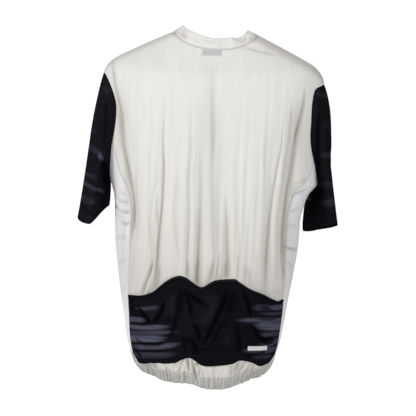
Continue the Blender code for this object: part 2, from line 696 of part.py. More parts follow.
def make_sleeve(side):
    """A sleeve and its cuff, which are one tube cut across."""
    cut = 1 - CUFF_BAND
    turns = sleeve_turns(side)
    angle, height = armhole(side, turns)
    seam_normal = body_normal(on_side(side, angle), height)
    for name, rows in (("sleeve", np.linspace(0, cut, SLEEVE_ROWS + 1)), ("cuff", np.linspace(cut, 1, CUFF_ROWS + 1))):
        turn, share = np.meshgrid(turns, rows)
        points = sleeve_point(side, turn, share)
        normals = sleeve_normal(side, turn, np.clip(share, SLOPE_STEP, 1 - SLOPE_STEP))
        if name == "sleeve":
            agree = fade(0.3, 0.8, (normals[0] * seam_normal).sum(-1))[:, None]
            normals[0] = unit(normals[0] * (1 - agree) + seam_normal * agree)
        outer = points.copy()
        for edge, beside in ((0, 1), (-1, -2)):
            outer[edge] += unit(points[beside] - points[edge]) * SEAM_GAP * 0.7
        inner = outer - normals * WALL
        order = slice(None) if side == "left" else slice(None, None, -1)
        wall(f"{name}_{side}", outer[::-1, order], inner[::-1, order], NAVY_BLACK, closed=True)


def box(name, low, high):
    """A closed box between two corners."""
    corners = [(x, y, z) for x in (low[0], high[0]) for y in (low[1], high[1]) for z in (low[2], high[2])]
    faces = [(0, 1, 3, 2), (4, 6, 7, 5), (0, 4, 5, 1), (2, 3, 7, 6), (0, 2, 6, 4), (1, 5, 7, 3)]
    return new_object(name, corners, faces, METAL_GREY, 0.35, 1.0)


def rod(name, radius, width):
    """A closed cylinder along X."""
    sides = 24
    round_way = [2 * math.pi * i / sides for i in range(sides)]
    ends = [(x, radius * math.cos(a), radius * math.sin(a)) for x in (-width / 2, width / 2) for a in round_way]
    faces = [(i, sides + i, sides + (i + 1) % sides, (i + 1) % sides) for i in range(sides)]
    faces += [tuple(range(sides)), tuple(range(2 * sides - 1, sides - 1, -1))]
    return new_object(name, ends, [face[::-1] for face in faces], METAL_GREY, 0.35, 1.0)


def combine(target, tool, operation):
    """Joins a tool to an object, or cuts it out, and keeps only the result."""
    modifier = target.modifiers.new(tool.name, "BOOLEAN")
    modifier.operation, modifier.solver, modifier.object = operation, "EXACT", tool
    evaluated = target.evaluated_get(bpy.context.evaluated_depsgraph_get())
    mesh = bpy.data.meshes.new_from_object(evaluated)
    target.modifiers.clear()
    target.data = mesh
    bpy.data.objects.remove(tool)


def front_of_zip(low, high):
    """The y of the foremost point of the chain between two levels."""
    height = np.linspace(-0.20, COLLAR_TOP, 400)
    line = body_point(np.full(height.shape, -math.pi / 2), height)
    inside = (line[:, 2] >= low) & (line[:, 2] <= high)
    return line[inside, 1].min() - CHAIN_RISE


def make_slider_and_pull():
    """The slider at the top of the zip, and the pull, whose origin is the pin that it hangs from."""
    top = body_point(np.array(-math.pi / 2), np.array(COLLAR_TOP))[2]
    level = top - SLIDER_BELOW_TOP
    low, high = level - SLIDER_HEIGHT / 2, level + SLIDER_HEIGHT / 2
    back = front_of_zip(low, high) - SEAM_GAP
    face = back - SLIDER_DEPTH
    pin = (0.0, face - PIN_STAND_OFF, level)

    slider = box("zip_slider", (-SLIDER_WIDTH / 2, face, low), (SLIDER_WIDTH / 2, back, high))
    cheek_low, cheek_high = level - CHEEK_HEIGHT / 2, level + CHEEK_HEIGHT / 2
    for side in (-1, 1):
        across = sorted((side * CHEEK_INSIDE, side * CHEEK_OUTSIDE))
        cheek = box("cheek", (across[0], pin[1] - CHEEK_HEIGHT / 2, cheek_low), (across[1], face + PIN_RADIUS, cheek_high))
        combine(slider, cheek, "UNION")
    bar = rod("pin", PIN_RADIUS, 2 * CHEEK_INSIDE + PIN_RADIUS)
    bar.location = pin
    combine(slider, bar, "UNION")

    pull = rod("zip_pull", EYE_RADIUS, EYE_WIDTH)
    half = PULL_THICKNESS / 2
    neck = box("neck", (-EYE_WIDTH / 2, -half, -PULL_NECK), (EYE_WIDTH / 2, half, -EYE_BORE - PIN_RADIUS / 2))
    combine(pull, neck, "UNION")
    tab = box("tab", (-PULL_WIDTH / 2, -half * 1.1, -PULL_LENGTH), (PULL_WIDTH / 2, half * 1.1, -PULL_NECK + half))
    combine(pull, tab, "UNION")
    combine(pull, rod("bore", EYE_BORE, EYE_WIDTH * 2), "DIFFERENCE")
    pull.location = pin


def main():
    for old in list(bpy.data.objects):
        bpy.data.objects.remove(old)
    body_panel("back_panel", back_grid(), WHITE)
    for side in ("left", "right"):
        body_panel(f"front_panel_{side}", front_grid(side), WHITE)
        body_panel(f"side_panel_{side}", side_grid(side), SIDE_GREY)
        make_sleeve(side)
    make_collar()
    make_hem_band()
    make_zip_tape()
    make_pocket_strip("pocket_panel", np.linspace(0, 1 - BINDING_SHARE, POCKET_ROWS + 1), WALL)
    make_pocket_strip("pocket_binding", (1 - BINDING_SHARE, 1), BINDING_WALL)
    make_labels()
    make_slider_and_pull()


main()
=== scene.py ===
"""The looks of a short-sleeved cycling jersey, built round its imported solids.

Metres, +Z up. The wearer faces -Y, the wearer's left is +X, and the origin lies midway between the two
points where the shoulders meet the collar. Every sewn piece is a fine shell of cloth on its solid's own
form, with the small folds, gathers, stitches and zip teeth that the solids leave out.

The body is one tube of rounded rings. A point of it is named by its angle round the ring (0 at the
wearer's left, 90 degrees at the back) and its height, which is the height of the ring's side.
"""

import math

import bmesh
import bpy
import numpy as np
from mathutils import Matrix, Vector


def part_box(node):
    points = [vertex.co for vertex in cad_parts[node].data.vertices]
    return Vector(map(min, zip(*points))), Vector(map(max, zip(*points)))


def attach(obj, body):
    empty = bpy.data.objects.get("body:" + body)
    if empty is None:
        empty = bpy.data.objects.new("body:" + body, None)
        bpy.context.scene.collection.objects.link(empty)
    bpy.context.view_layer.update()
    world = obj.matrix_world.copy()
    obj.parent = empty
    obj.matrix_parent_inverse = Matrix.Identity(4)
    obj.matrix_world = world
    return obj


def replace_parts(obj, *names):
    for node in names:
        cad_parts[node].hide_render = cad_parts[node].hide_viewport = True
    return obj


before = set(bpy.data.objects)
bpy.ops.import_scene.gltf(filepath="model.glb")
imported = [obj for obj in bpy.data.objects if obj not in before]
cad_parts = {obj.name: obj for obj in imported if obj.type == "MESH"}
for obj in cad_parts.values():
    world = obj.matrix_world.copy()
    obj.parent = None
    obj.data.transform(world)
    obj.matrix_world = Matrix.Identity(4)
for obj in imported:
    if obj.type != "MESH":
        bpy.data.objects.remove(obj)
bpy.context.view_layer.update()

MM, TENTHS, PERCENT = 1000, 10000, 100  # how many go into a metre, or into a whole

# How thick the cloth is, and how the pieces of it meet.
WALL, COLLAR_WALL, HEM_WALL, BINDING_WALL = 0.0014, 0.0020, 0.0018, 0.0022
SEAM_GAP = 0.0003
SEAM_DIP, SEAM_WIDTH = 0.0005, 0.0014
PANEL_EDGE_DIP = 0.00035
LEAST_AREA_SHARE = 0.3  # the least area of a cut, as a share of its width times its length

# The form of a ring, and the steps that slopes are measured over.
SQUARENESS = 2.3
DROP_POWER = 1.4
SIDE_RADIUS = 0.15  # turns degrees round a side into metres
SLOPE_STEP = 0.002
SLOPE_TURN = 0.01
COLLAR_SLACK = 0.0011

# The marks that the materials read: how near an edge the seam's shade starts and is full, how much of a
# mark its inner side has, and the depth of a crease that gets the full painted shade.
EDGE_MARK = (0.0028, 0.0006)
INSIDE_MARKS = {"painted_shading": 0.3, "behind": 0.0}
HOLLOW_DEPTH, DARK_HOLLOW_DEPTH = 0.0068, 0.0036


def lines(*rows, across=MM, strength=TENTHS):
    """Lines on the cloth, each as its points, its width and its strength. A row gives a line's width in
    tenths of a millimetre, its strength, and its points in millimetres."""
    return [(np.array(path) / (across, MM), width / TENTHS, force / strength) for width, force, *path in rows]


# The rings. left and right are half widths, back and front half depths, and the drops say how far the
# middle of the back and front lie under the ring's side.
SECTION_COLUMNS = ("height", "left", "right", "back", "front", "back_drop", "front_drop")
SECTIONS = (
    (-0.6690, 0.1390, 0.1400, 0.092, 0.083, 0.042, -0.012),
    (-0.6485, 0.1475, 0.1480, 0.100, 0.090, 0.040, -0.010),
    (-0.6200, 0.1565, 0.1575, 0.108, 0.098, 0.026, -0.006),
    (-0.5800, 0.1630, 0.1640, 0.112, 0.103, 0.012, -0.002),
    (-0.5400, 0.1715, 0.1695, 0.113, 0.106, 0.004, 0.000),
    (-0.4800, 0.1810, 0.1790, 0.113, 0.109, 0.000, 0.000),
    (-0.4200, 0.1890, 0.1865, 0.113, 0.111, 0.000, 0.000),
    (-0.3750, 0.1910, 0.1880, 0.114, 0.113, 0.000, 0.000),
    (-0.3450, 0.1930, 0.1940, 0.115, 0.115, 0.000, 0.000),
    (-0.3200, 0.1990, 0.2030, 0.116, 0.116, 0.000, 0.000),
    (-0.2970, 0.2060, 0.2190, 0.117, 0.117, 0.000, 0.000),
    (-0.2700, 0.2120, 0.2190, 0.118, 0.117, 0.000, 0.001),
    (-0.2300, 0.2190, 0.2170, 0.118, 0.116, 0.000, 0.003),
    (-0.1600, 0.2260, 0.2240, 0.115, 0.110, 0.002, 0.011),
    (-0.1100, 0.2280, 0.2260, 0.108, 0.100, 0.009, 0.026),
    (-0.0860, 0.2260, 0.2240, 0.102, 0.094, 0.014, 0.037),
    (-0.0720, 0.2200, 0.2170, 0.097, 0.090, 0.018, 0.043),
    (-0.0580, 0.2060, 0.2040, 0.091, 0.087, 0.023, 0.050),
    (-0.0400, 0.1740, 0.1720, 0.083, 0.080, 0.029, 0.058),
    (-0.0200, 0.1350, 0.1320, 0.073, 0.076, 0.035, 0.068),
    (0.0030, 0.0880, 0.0850, 0.062, 0.0735, 0.041, 0.078),
    (0.0160, 0.0680, 0.0640, 0.053, 0.0710, 0.030, 0.062),
)
HEM_BOTTOM, HEM_TOP, NECK_SEAM, COLLAR_TOP = -0.6690, -0.6485, 0.0030, 0.0160

# Edges across the body are given by how high they lie, or how far they rise, at each x.
EDGE_COLUMNS = ("x", "z")

# The tail waves a little: how far its edge rises.
TAIL_WAVES = (
    (-0.140, -0.002), (-0.122, -0.002), (-0.097, 0.003), (-0.077, 0.000), (-0.038, -0.005), (-0.008, -0.003),
    (0.024, 0.005), (0.058, 0.002), (0.077, 0.001), (0.097, 0.002), (0.122, -0.002), (0.140, 0.000),
)

# The seams of the side panels, as degrees round the ring from the side's middle, at each height.
SIDE_SEAM_COLUMNS = ("height", "left_back", "right_back", "left_front", "right_front")
SIDE_SEAMS = (
    (-0.669, 20.0, 19.0, 15.0, 15.0),
    (-0.640, 23.5, 20.5, 18.0, 18.0),
    (-0.600, 25.0, 21.5, 22.0, 22.0),
    (-0.560, 28.0, 22.5, 26.0, 26.0),
    (-0.500, 33.0, 28.5, 31.0, 31.0),
    (-0.430, 37.0, 30.5, 35.0, 35.0),
    (-0.380, 36.0, 31.0, 35.0, 35.0),
    (-0.326, 33.0, 33.0, 34.0, 34.0),
    (-0.300, 31.0, 35.0, 32.0, 32.0),
    (-0.277, 30.0, 31.5, 30.0, 30.0),
    (-0.230, 28.5, 24.0, 27.0, 27.0),
)

# An armhole runs once round: turn 0 at the shoulder, 90 degrees at the back, 180 at the armpit. The
# stretch between its top and its first turn is nearly straight.
ARMHOLE_COLUMNS = ("top", "bottom", "back", "front", "taper", "round_top", "first", "back_tip", "front_tip")
ARMHOLES = {
    "left": (-0.086, -0.312, 29.3, 33.0, 10.0, 0.90, 24.0, 106.0, 112.0),
    "right": (-0.091, -0.297, 27.8, 33.0, 8.0, 0.34, 34.0, 121.0, 112.0),
}
FRONT_FIRST = 24.0  # the first turn at the front, the same on both sides

# A cuff is a flattened ring. twist turns its long axis about Z, tilt lowers its back, and its inner side
# sags. Its sleeve leaves the shoulder with the slope leave, and arrives with the slope arrive.
CUFF_COLUMNS = ("x", "y", "z", "half_long", "half_out", "half_in", "twist", "tilt", "sag", "leave", "arrive")
CUFFS = {
    "left": (0.226, -0.020, -0.379, 0.062, 0.041, 0.010, 13.0, 18.4, -0.010, 0.27, 0.18),
    "right": (0.231, -0.016, -0.386, 0.061, 0.018, 0.018, 27.0, -8.5, 0.009, 0.41, 0.17),
}
CUFF_BAND = 0.12  # the share of a sleeve that its cuff takes
SLEEVE_PULL = 0.9  # how far a sleeve keeps the slopes of its two ends

# The deep folds, which the solids have too. A fold runs from its top to its bottom end, with a bow to
# one side, and sinks over its width, or rises where depth is positive.
BACK_FOLDS = (
    (0.199, -0.100, 0.146, -0.440, -0.001, 0.015, -0.0095),
    (0.104, -0.150, 0.106, -0.560, 0.000, 0.014, -0.0045),
    (0.052, -0.200, 0.048, -0.540, 0.000, 0.012, 0.0030),
    (0.016, -0.340, 0.014, -0.570, 0.000, 0.014, -0.0050),
    (-0.038, -0.360, -0.034, -0.560, 0.000, 0.014, -0.0045),
    (-0.122, -0.150, -0.120, -0.520, 0.000, 0.014, -0.0035),
    (-0.180, -0.105, -0.152, -0.500, 0.000, 0.015, -0.0090),
)
FRONT_FOLDS = (
    (0.184, -0.150, 0.150, -0.500, 0.004, 0.016, -0.0070),
    (0.112, -0.180, 0.112, -0.640, 0.004, 0.018, -0.0050),
    (0.055, -0.220, 0.066, -0.640, -0.004, 0.018, 0.0030),
    (-0.050, -0.240, -0.060, -0.640, 0.003, 0.018, 0.0030),
    (-0.106, -0.170, -0.110, -0.640, -0.004, 0.018, -0.0050),
    (-0.180, -0.150, -0.148, -0.500, -0.004, 0.016, -0.0070),
)

# The creases, which lie in and between the deep folds. A row is a crease's width and how far it rises, or
# sinks where that is negative, both in tenths of a millimetre, and the points it runs through, in
# millimetres. A point is (x, z), on the sides (degrees round the ring, height), and on a sleeve
# (distance from the middle plane, z). BACK_CREASES end at the pockets' mouth, and TAIL_CREASES do not.
BACK_CREASES = lines(
    (34, -46, (205, -129), (193, -177), (182, -236), (169, -290), (158, -339), (154, -371), (153, -411),
        (151, -471)),
    (60, 20, (181, -168), (170, -225), (158, -278), (152, -318)),
    (26, -22, (152, -182), (147, -246), (148, -306), (146, -350), (141, -390), (141, -446)),
    (50, 12, (138, -338), (133, -402), (134, -469)),
    (140, 20, (133, -186), (124, -286), (124, -375), (127, -437)),
    (24, -18, (114, -246), (107, -297), (113, -345), (116, -389), (112, -436), (107, -476)),
    (28, -44, (97, -170), (96, -235), (92, -285), (92, -328), (93, -364), (96, -396), (98, -435),
        (99, -475), (105, -531), (108, -555)),
    (70, 12, (91, -206), (83, -304), (83, -387), (82, -466)),
    (24, -22, (106, -325), (103, -372), (98, -408)),
    (32, -50, (106, -460), (112, -488), (120, -516), (129, -549)),
    (22, 30, (103, -467), (110, -504), (118, -548)),
    (46, -30, (94, -467), (96, -503), (100, -543)),
    (30, -16, (63, -264), (65, -315), (68, -359), (62, -414), (55, -453), (51, -488)),
    (50, 18, (54, -244), (48, -342), (48, -421), (47, -484)),
    (30, -30, (42, -153), (40, -232), (41, -287), (38, -350), (37, -393), (37, -440), (37, -484),
        (29, -538)),
    (46, -30, (36, -456), (35, -487), (27, -534)),
    (38, 14, (31, -302), (27, -373), (26, -432), (26, -479)),
    (30, -26, (23, -223), (18, -298), (16, -353), (16, -404), (17, -451), (17, -498), (13, -546)),
    (38, -40, (16, -451), (18, -487), (14, -538)),
    (80, 10, (10, -242), (5, -360), (3, -462)),
    (34, -26, (6, -104), (-2, -202), (-4, -281), (-8, -348), (-11, -411), (-15, -454), (-13, -517)),
    (42, -36, (-15, -454), (-12, -485), (-6, -529)),
    (22, -28, (-27, -430), (-25, -461), (-21, -505)),
    (26, 26, (-29, -418), (-28, -461), (-27, -508)),
    (32, -26, (-30, -311), (-37, -382), (-40, -433), (-45, -472), (-53, -519)),
    (52, -36, (-38, -453), (-41, -480), (-47, -523)),
    (60, 20, (-41, -240), (-48, -350), (-52, -429), (-57, -488)),
    (26, -10, (-60, -278), (-60, -349), (-64, -416), (-69, -475)),
    (20, -18, (-61, -436), (-64, -460), (-62, -499)),
    (160, 12, (-79, -198), (-79, -297), (-83, -380)),
    (80, -22, (-78, -463), (-87, -487), (-101, -518)),
    (50, 20, (-100, -237), (-108, -327), (-106, -415), (-109, -486), (-117, -530)),
    (28, -32, (-141, -150), (-139, -226), (-133, -274), (-127, -319), (-123, -366), (-121, -414),
        (-120, -458), (-120, -502), (-126, -545)),
    (28, -22, (-155, -168), (-152, -233), (-147, -281), (-143, -326), (-140, -370), (-143, -418),
        (-149, -470)),
    (30, 12, (-132, -306), (-131, -374), (-135, -458), (-137, -514)),
    (36, -44, (-180, -128), (-174, -181), (-169, -231), (-164, -276), (-159, -317), (-158, -357),
        (-157, -397), (-159, -446), (-159, -502)),
    (40, 22, (-180, -222), (-175, -259), (-169, -304)),
    (26, 16, (-146, -398), (-147, -450), (-153, -494)),
    (22, -34, (-154, -458), (-159, -486), (-159, -530)),
    (22, -30, (-131, -516), (-144, -519), (-154, -518)),
    (30, 26, (-137, -510), (-147, -502), (-151, -486)),
    (30, -42, (209, -42), (206, -80), (200, -116), (192, -155), (184, -199), (176, -247)),
    (30, -44, (-183, -100), (-181, -141), (-176, -181), (-170, -228)),
    (22, -26, (-157, -138), (-156, -184), (-157, -234)),
    (60, -18, (4, -63), (2, -112), (-1, -181), (-5, -261)),
    (24, -16, (101, -123), (96, -171), (96, -238)),
    (40, 16, (139, -120), (132, -172), (126, -227)),
    (30, 12, (118, -116), (112, -167), (102, -226)),
    (50, 16, (57, -130), (52, -185), (48, -244)),
    (26, -40, (-49, -31), (-69, -32), (-93, -36), (-130, -44)),
    (30, 18, (-63, -25), (-81, -20), (-105, -23)),
    (28, -28, (74, 0), (65, -10), (55, -18)),
    (26, -22, (51, -9), (38, -21), (28, -24)),
    (34, -26, (35, -15), (18, -22), (-4, -23)),
    (20, -16, (49, -18), (32, -27), (12, -29)),
    (30, 14, (43, -7), (33, -17)),
    (34, -22, (-32, -16), (-40, -11), (-50, -7)),
    (26, -22, (-49, -20), (-59, -13), (-64, -1)),
    (26, -26, (-67, -16), (-73, -8), (-81, -7)),
    (30, 14, (-12, -19), (-26, -27)),
)
TAIL_CREASES = lines(
    (24, -64, (31, -648), (27, -664), (24, -683)),
    (26, -64, (24, -652), (17, -669), (13, -687), (4, -706)),
    (22, -48, (16, -651), (6, -673), (2, -694)),
    (20, 28, (24, -660), (21, -679)),
    (20, -36, (6, -663), (-5, -690)),
    (22, 31, (10, -663), (1, -682)),
    (28, -36, (38, -652), (41, -670), (48, -686)),
    (22, -25, (-8, -666), (-14, -693)),
    (26, -22, (-24, -665), (-24, -693)),
    (24, -36, (-59, -660), (-58, -688)),
    (26, -39, (-74, -651), (-69, -667), (-62, -685)),
    (26, -39, (-88, -651), (-81, -667), (-68, -683)),
    (26, -36, (-98, -654), (-93, -668), (-82, -683)),
    (24, -34, (-104, -658), (-99, -678)),
    (30, -28, (110, -665), (86, -681)),
    (30, -28, (91, -664), (62, -680)),
    (30, -25, (65, -661), (43, -676)),
    (24, 20, (76, -664), (52, -681)),
    (30, -14, (-36, -677), (-54, -684)),
)
FRONT_CREASES = lines(
    (50, -26, (196, -120), (184, -220), (160, -330)),
    (60, 18, (170, -240), (150, -440)),
    (70, -18, (150, -90), (142, -170), (120, -240)),
    (45, -19, (135, -230), (132, -380), (128, -520)),
    (45, -20, (97, -300), (98, -620)),
    (80, 14, (82, -160), (84, -320), (78, -460)),
    (50, -16, (42, -120), (40, -280), (34, -420)),
    (50, -16, (22, -260), (26, -600)),
    (90, -14, (60, -70), (92, -104), (110, -150)),
    (90, -14, (-60, -70), (-96, -110), (-116, -160)),
    (50, -16, (-20, -230), (-24, -560)),
    (55, -15, (-40, -130), (-38, -260), (-34, -380)),
    (80, 14, (-78, -180), (-84, -330), (-82, -470)),
    (45, -20, (-94, -280), (-96, -610)),
    (45, -19, (-132, -210), (-134, -360), (-128, -500)),
    (70, -17, (-148, -100), (-140, -180), (-118, -250)),
    (60, 18, (-168, -250), (-148, -450)),
    (50, -26, (-194, -130), (-182, -230), (-158, -340)),
)
SIDE_CREASES = lines(
    (26, -52, (40, -372), (28, -373), (16, -366), (0, -350)),
    (26, -35, (36, -346), (27, -353), (14, -345)),
    (24, -41, (38, -386), (30, -396), (20, -388)),
    (24, -26, (32, -377), (21, -382), (4, -371)),
    (24, -23, (32, -341), (20, -330)),
    (40, 26, (34, -380), (18, -375)),
    (30, -22, (36, -419), (10, -427)),
    (30, -19, (34, -465), (14, -475)),
    (34, -17, (28, -520), (8, -540)),
    (34, -32, (10, -330), (-28, -352)),
    (34, -29, (4, -400), (-30, -418)),
    (32, -20, (0, -452), (-24, -470)),
    (28, -46, (160, -314), (153, -317), (144, -330)),
    (24, -46, (174, -433), (157, -431), (144, -424)),
    (28, -29, (164, -342), (155, -354), (144, -363)),
    (30, -23, (164, -380), (146, -386)),
    (26, -26, (152, -289), (140, -300)),
    (26, -22, (168, -467), (150, -457)),
    (40, 23, (162, -330), (148, -339)),
    (34, -32, (172, -330), (208, -350)),
    (34, -26, (178, -402), (210, -420)),
    (32, -19, (182, -500), (206, -524)),
    across=1,
)
SLEEVE_CREASES = {
    "left": lines(
        (50, -26, (216, -130), (213, -200), (215, -262)),
        (55, -42, (215, -262), (211, -300), (212, -324)),
        (50, 26, (222, -244), (220, -276)),
        (45, 20, (223, -321), (217, -338)),
        (40, -18, (250, -316), (235, -320), (218, -346)),
        (45, -13, (249, -292), (232, -302)),
        (45, -16, (256, -343), (233, -354)),
        (80, 14, (233, -150), (240, -240)),
        (50, -10, (226, -170), (229, -235)),
    ),
    "right": lines(
        (60, -38, (214, -130), (212, -200), (216, -270), (220, -300)),
        (45, 14, (223, -140), (224, -220), (229, -290)),
        (55, -26, (226, -302), (218, -328), (208, -345)),
        (55, -16, (232, -330), (236, -375)),
        (70, 10, (246, -180), (249, -300)),
        (45, -10, (236, -225), (251, -240)),
    ),
}
POCKET_CREASES = lines(
    (30, -50, (136, -552), (121, -569), (110, -582), (103, -595)),
    (30, -52, (103, -595), (90, -576), (81, -554), (76, -534)),
    (75, 30, (119, -555), (102, -567), (91, -548)),
    (50, 24, (106, -569), (104, -585)),
    (60, 22, (72, -532), (75, -559), (82, -583)),
    (32, -52, (50, -505), (51, -538), (52, -562), (58, -589), (65, -613), (80, -626)),
    (80, 30, (61, -519), (61, -550), (64, -582)),
    (50, 30, (37, -522), (36, -545), (37, -573)),
    (30, -55, (42, -510), (33, -537), (26, -560), (23, -580)),
    (45, -30, (45, -514), (44, -546), (45, -573)),
    (30, -50, (34, -514), (23, -531), (9, -540), (-7, -549), (-19, -552)),
    (85, 30, (4, -530), (-14, -535), (-33, -523)),
    (34, -66, (-48, -506), (-41, -526), (-34, -546), (-25, -566), (-18, -586), (-9, -606), (2, -624),
        (9, -642)),
    (90, 42, (-26, -529), (-15, -556), (-4, -579), (1, -598)),
    (80, -40, (-60, -510), (-55, -534), (-47, -569)),
    (34, -50, (-70, -512), (-81, -531), (-88, -552), (-95, -574)),
    (80, 22, (-101, -532), (-104, -560)),
    (30, -50, (-83, -576), (-97, -586), (-108, -603), (-122, -611), (-137, -606), (-146, -595)),
    (60, 22, (-115, -590), (-128, -600), (-138, -588)),
    (28, -36, (-110, -613), (-129, -620), (-147, -609)),
    (34, -48, (-53, -575), (-64, -588), (-70, -610), (-73, -631), (-76, -645)),
    (36, -30, (-20, -627), (-27, -603), (-36, -587), (-53, -577)),
    (100, 22, (-44, -593), (-50, -632)),
    (34, -50, (23, -580), (15, -591), (8, -606), (7, -626)),
    (60, 26, (-3, -594), (0, -614), (5, -634)),
    (36, -42, (38, -604), (37, -625), (32, -643)),
    (36, -50, (21, -615), (15, -630), (6, -647)),
    (40, -36, (37, -620), (25, -617), (13, -620)),
    (60, 22, (30, -596), (25, -611)),
    (28, -36, (139, -612), (128, -627), (116, -631), (88, -629), (68, -621)),
    (28, -34, (136, -640), (119, -644), (87, -642), (68, -637), (48, -630)),
    (24, -30, (140, -590), (124, -592), (110, -591)),
    (30, -34, (136, -644), (125, -654), (120, -663)),
    (36, -28, (-83, -539), (-113, -546), (-142, -555)),
    (28, -22, (-98, -568), (-127, -572), (-152, -567)),
    (40, -30, (-78, -643), (-105, -641), (-134, -634)),
)

# The fine pleats that hang down the whole body. A row is how far apart they are, how deep, how they
# lean and where they start.
PLEATS = (
    (0.0125, 0.00030, 0.030, 0.4),
    (0.0190, 0.00048, -0.024, 2.1),
    (0.0270, 0.00060, 0.012, 4.0),
    (0.0430, 0.00085, -0.020, 1.2),
)

# A faint painted grey shade on the back, for what lies behind it: the closed zip and the shadow round
# it. Rows as for the creases, with the strength in per cent.
SEEN_THROUGH = lines(
    (75, 85, (6, -96), (-2, -169), (-7, -301), (-14, -398), (-18, -500)),
    (200, 42, (12, -80), (16, -240), (12, -470)),
    (160, 35, (30, -80), (-10, -86)),
    strength=PERCENT,
)

# The mouth and the bottom edge of the pockets, across the back.
POCKET_MOUTH = (
    (-0.157, -0.532), (-0.144, -0.535), (-0.131, -0.531), (-0.106, -0.519), (-0.086, -0.511),
    (-0.067, -0.499), (-0.057, -0.493), (-0.029, -0.495), (-0.017, -0.497), (-0.005, -0.504),
    (0.008, -0.511), (0.027, -0.501), (0.038, -0.494), (0.050, -0.491), (0.062, -0.494), (0.077, -0.504),
    (0.101, -0.526), (0.126, -0.534), (0.151, -0.536),
)
POCKET_BOTTOM = (
    (-0.142, -0.648), (-0.130, -0.662), (-0.117, -0.666), (-0.095, -0.657), (-0.077, -0.654),
    (-0.058, -0.661), (-0.010, -0.667), (0.005, -0.664), (0.024, -0.652), (0.038, -0.656), (0.058, -0.665),
    (0.087, -0.667), (0.122, -0.671), (0.137, -0.656),
)
POCKET_STOPS = (-0.160, -0.058, 0.050, 0.156)  # x of the side seams and of the two stitched dividers
POCKET_GAPE, POCKET_SLACK = 0.014, 1.2  # how far the mouth stands open, and how that grows up the pocket
BINDING_SHARE, BINDING_INK = 0.04, 0.14  # the binding's share of the height, and its least paleness

# The pale bands knitted into the dark cloth. A row is a band's half width in tenths of a millimetre, how
# pale it is in per cent, and its points as for the creases.
POCKET_BANDS = lines(
    (40, 50, (142, -561), (121, -560), (93, -555), (83, -552)),
    (54, 80, (169, -589), (139, -584), (110, -583)),
    (48, 95, (176, -605), (125, -598), (73, -593), (58, -591)),
    (44, 52, (176, -616), (105, -607), (42, -600)),
    (68, 100, (175, -628), (124, -621), (76, -615), (65, -613)),
    (20, 60, (175, -632), (116, -625), (60, -619)),
    (58, 86, (153, -642), (124, -638), (84, -634), (48, -625), (37, -622)),
    (60, 40, (157, -657), (115, -653), (44, -645)),
    (52, 85, (-185, -546), (-142, -548), (-121, -548)),
    (60, 30, (-138, -548), (-93, -546)),
    (30, 35, (-189, -558), (-143, -560), (-102, -558)),
    (44, 70, (-190, -572), (-143, -573), (-102, -572), (-67, -574), (-55, -575)),
    (80, 100, (-195, -586), (-144, -585), (-103, -583), (-91, -582)),
    (32, 55, (-191, -590), (-115, -592)),
    (54, 45, (-162, -602), (-132, -602), (-108, -600)),
    (56, 60, (-171, -613), (-145, -617), (-129, -623), (-105, -621)),
    (50, 62, (-168, -625), (-146, -632), (-117, -635), (-73, -633)),
    (44, 28, (-147, -646), (-94, -647)),
    strength=PERCENT,
)
SLEEVE_WASH = {"left": 0.050, "right": 0.018}  # the least strength of the bands' ink on a sleeve
SLEEVE_BANDS_AND_HIGHLIGHTS = {
    "left": lines(
        (80, 20, (226, -118), (206, -136)),
        (60, 34, (272, -236), (243, -246), (216, -258)),
        # A painted highlight: a short pale spot where a ridge of the sleeve catches the light.
        (46, 85, (225, -254), (216, -272)),
        (50, 30, (282, -284), (240, -301), (220, -308)),
        (42, 50, (284, -304), (246, -320), (212, -336)),
        # A painted highlight: a short pale spot where a ridge of the sleeve catches the light.
        (36, 40, (226, -326), (212, -334)),
        (80, 28, (286, -334), (250, -349), (220, -360)),
        (60, 12, (284, -200), (216, -216)),
        strength=PERCENT,
    ),
    "right": lines(
        (70, 16, (196, -115), (240, -122)),
        (50, 24, (212, -240), (276, -238)),
        (28, 60, (207, -252), (213, -268)),
        (56, 20, (214, -300), (280, -296)),
        (40, 45, (206, -325), (213, -332)),
        (80, 24, (222, -337), (282, -331)),
        (50, 12, (210, -180), (276, -178)),
        strength=PERCENT,
    ),
}

# The top of the collar slumps a little: how far it rises.
COLLAR_WAVES = (
    (-0.070, -0.004), (-0.062, -0.004), (-0.052, -0.006), (-0.044, -0.005), (-0.030, -0.001),
    (-0.010, 0.000), (0.006, 0.000), (0.024, 0.001), (0.047, 0.003), (0.066, 0.000),
)

# The hem is drawn in by elastic, which gathers the cloth above it too.
HEM_GATHERS, GATHER_DEPTH, GATHER_START = 118, 0.0015, -0.640
ELASTIC_RIBS, ELASTIC_DEPTH, ELASTIC_WAVE, ELASTIC_ROLL = 236, 0.0007, 0.0009, 0.0008

# The zip, and the sizes of a tooth and of a stitch. BESIDE is how far rows of stitches run from a seam.
ZIP_HALF_WIDTH, ZIP_WALL = 0.006, 0.0012
ZIP_ENDS = (HEM_BOTTOM + 0.001, COLLAR_TOP - 0.001)
TOOTH = {"Pitch": 0.0021, "Width": 0.0027, "Height": 0.00105, "Rise": 0.0012}
TOOTH_STAND_OFF, TOOTH_OFFSET = 0.0004, 0.0009
STITCH = {"Pitch": 0.0030, "Length": 0.0024, "Thickness": 0.00045}
BESIDE = {
    "panel": 0.0021, "zip": 0.0018, "armhole": 0.0020, "cuff": 0.0010, "neck": 0.0014, "top": 0.0030,
    "hem": 0.0016, "pocket": 0.0011,
}

# The slider with its pin and two cheeks, and the pull with its eye, neck and plate.
SLIDER_WIDTH, SLIDER_DEPTH, SLIDER_HEIGHT = 0.0076, 0.0026, 0.0100
PIN_RADIUS, PIN_STAND_OFF = 0.0007, 0.0024
CHEEK_INSIDE, CHEEK_OUTSIDE, CHEEK_HEIGHT = 0.0016, 0.0026, 0.0024
EYE_BORE, EYE_RADIUS, EYE_WIDTH = 0.0010, 0.0018, 0.0026
PULL_WIDTH, PULL_THICKNESS, PULL_LENGTH, PULL_NECK = 0.0052, 0.0014, 0.0210, 0.0040

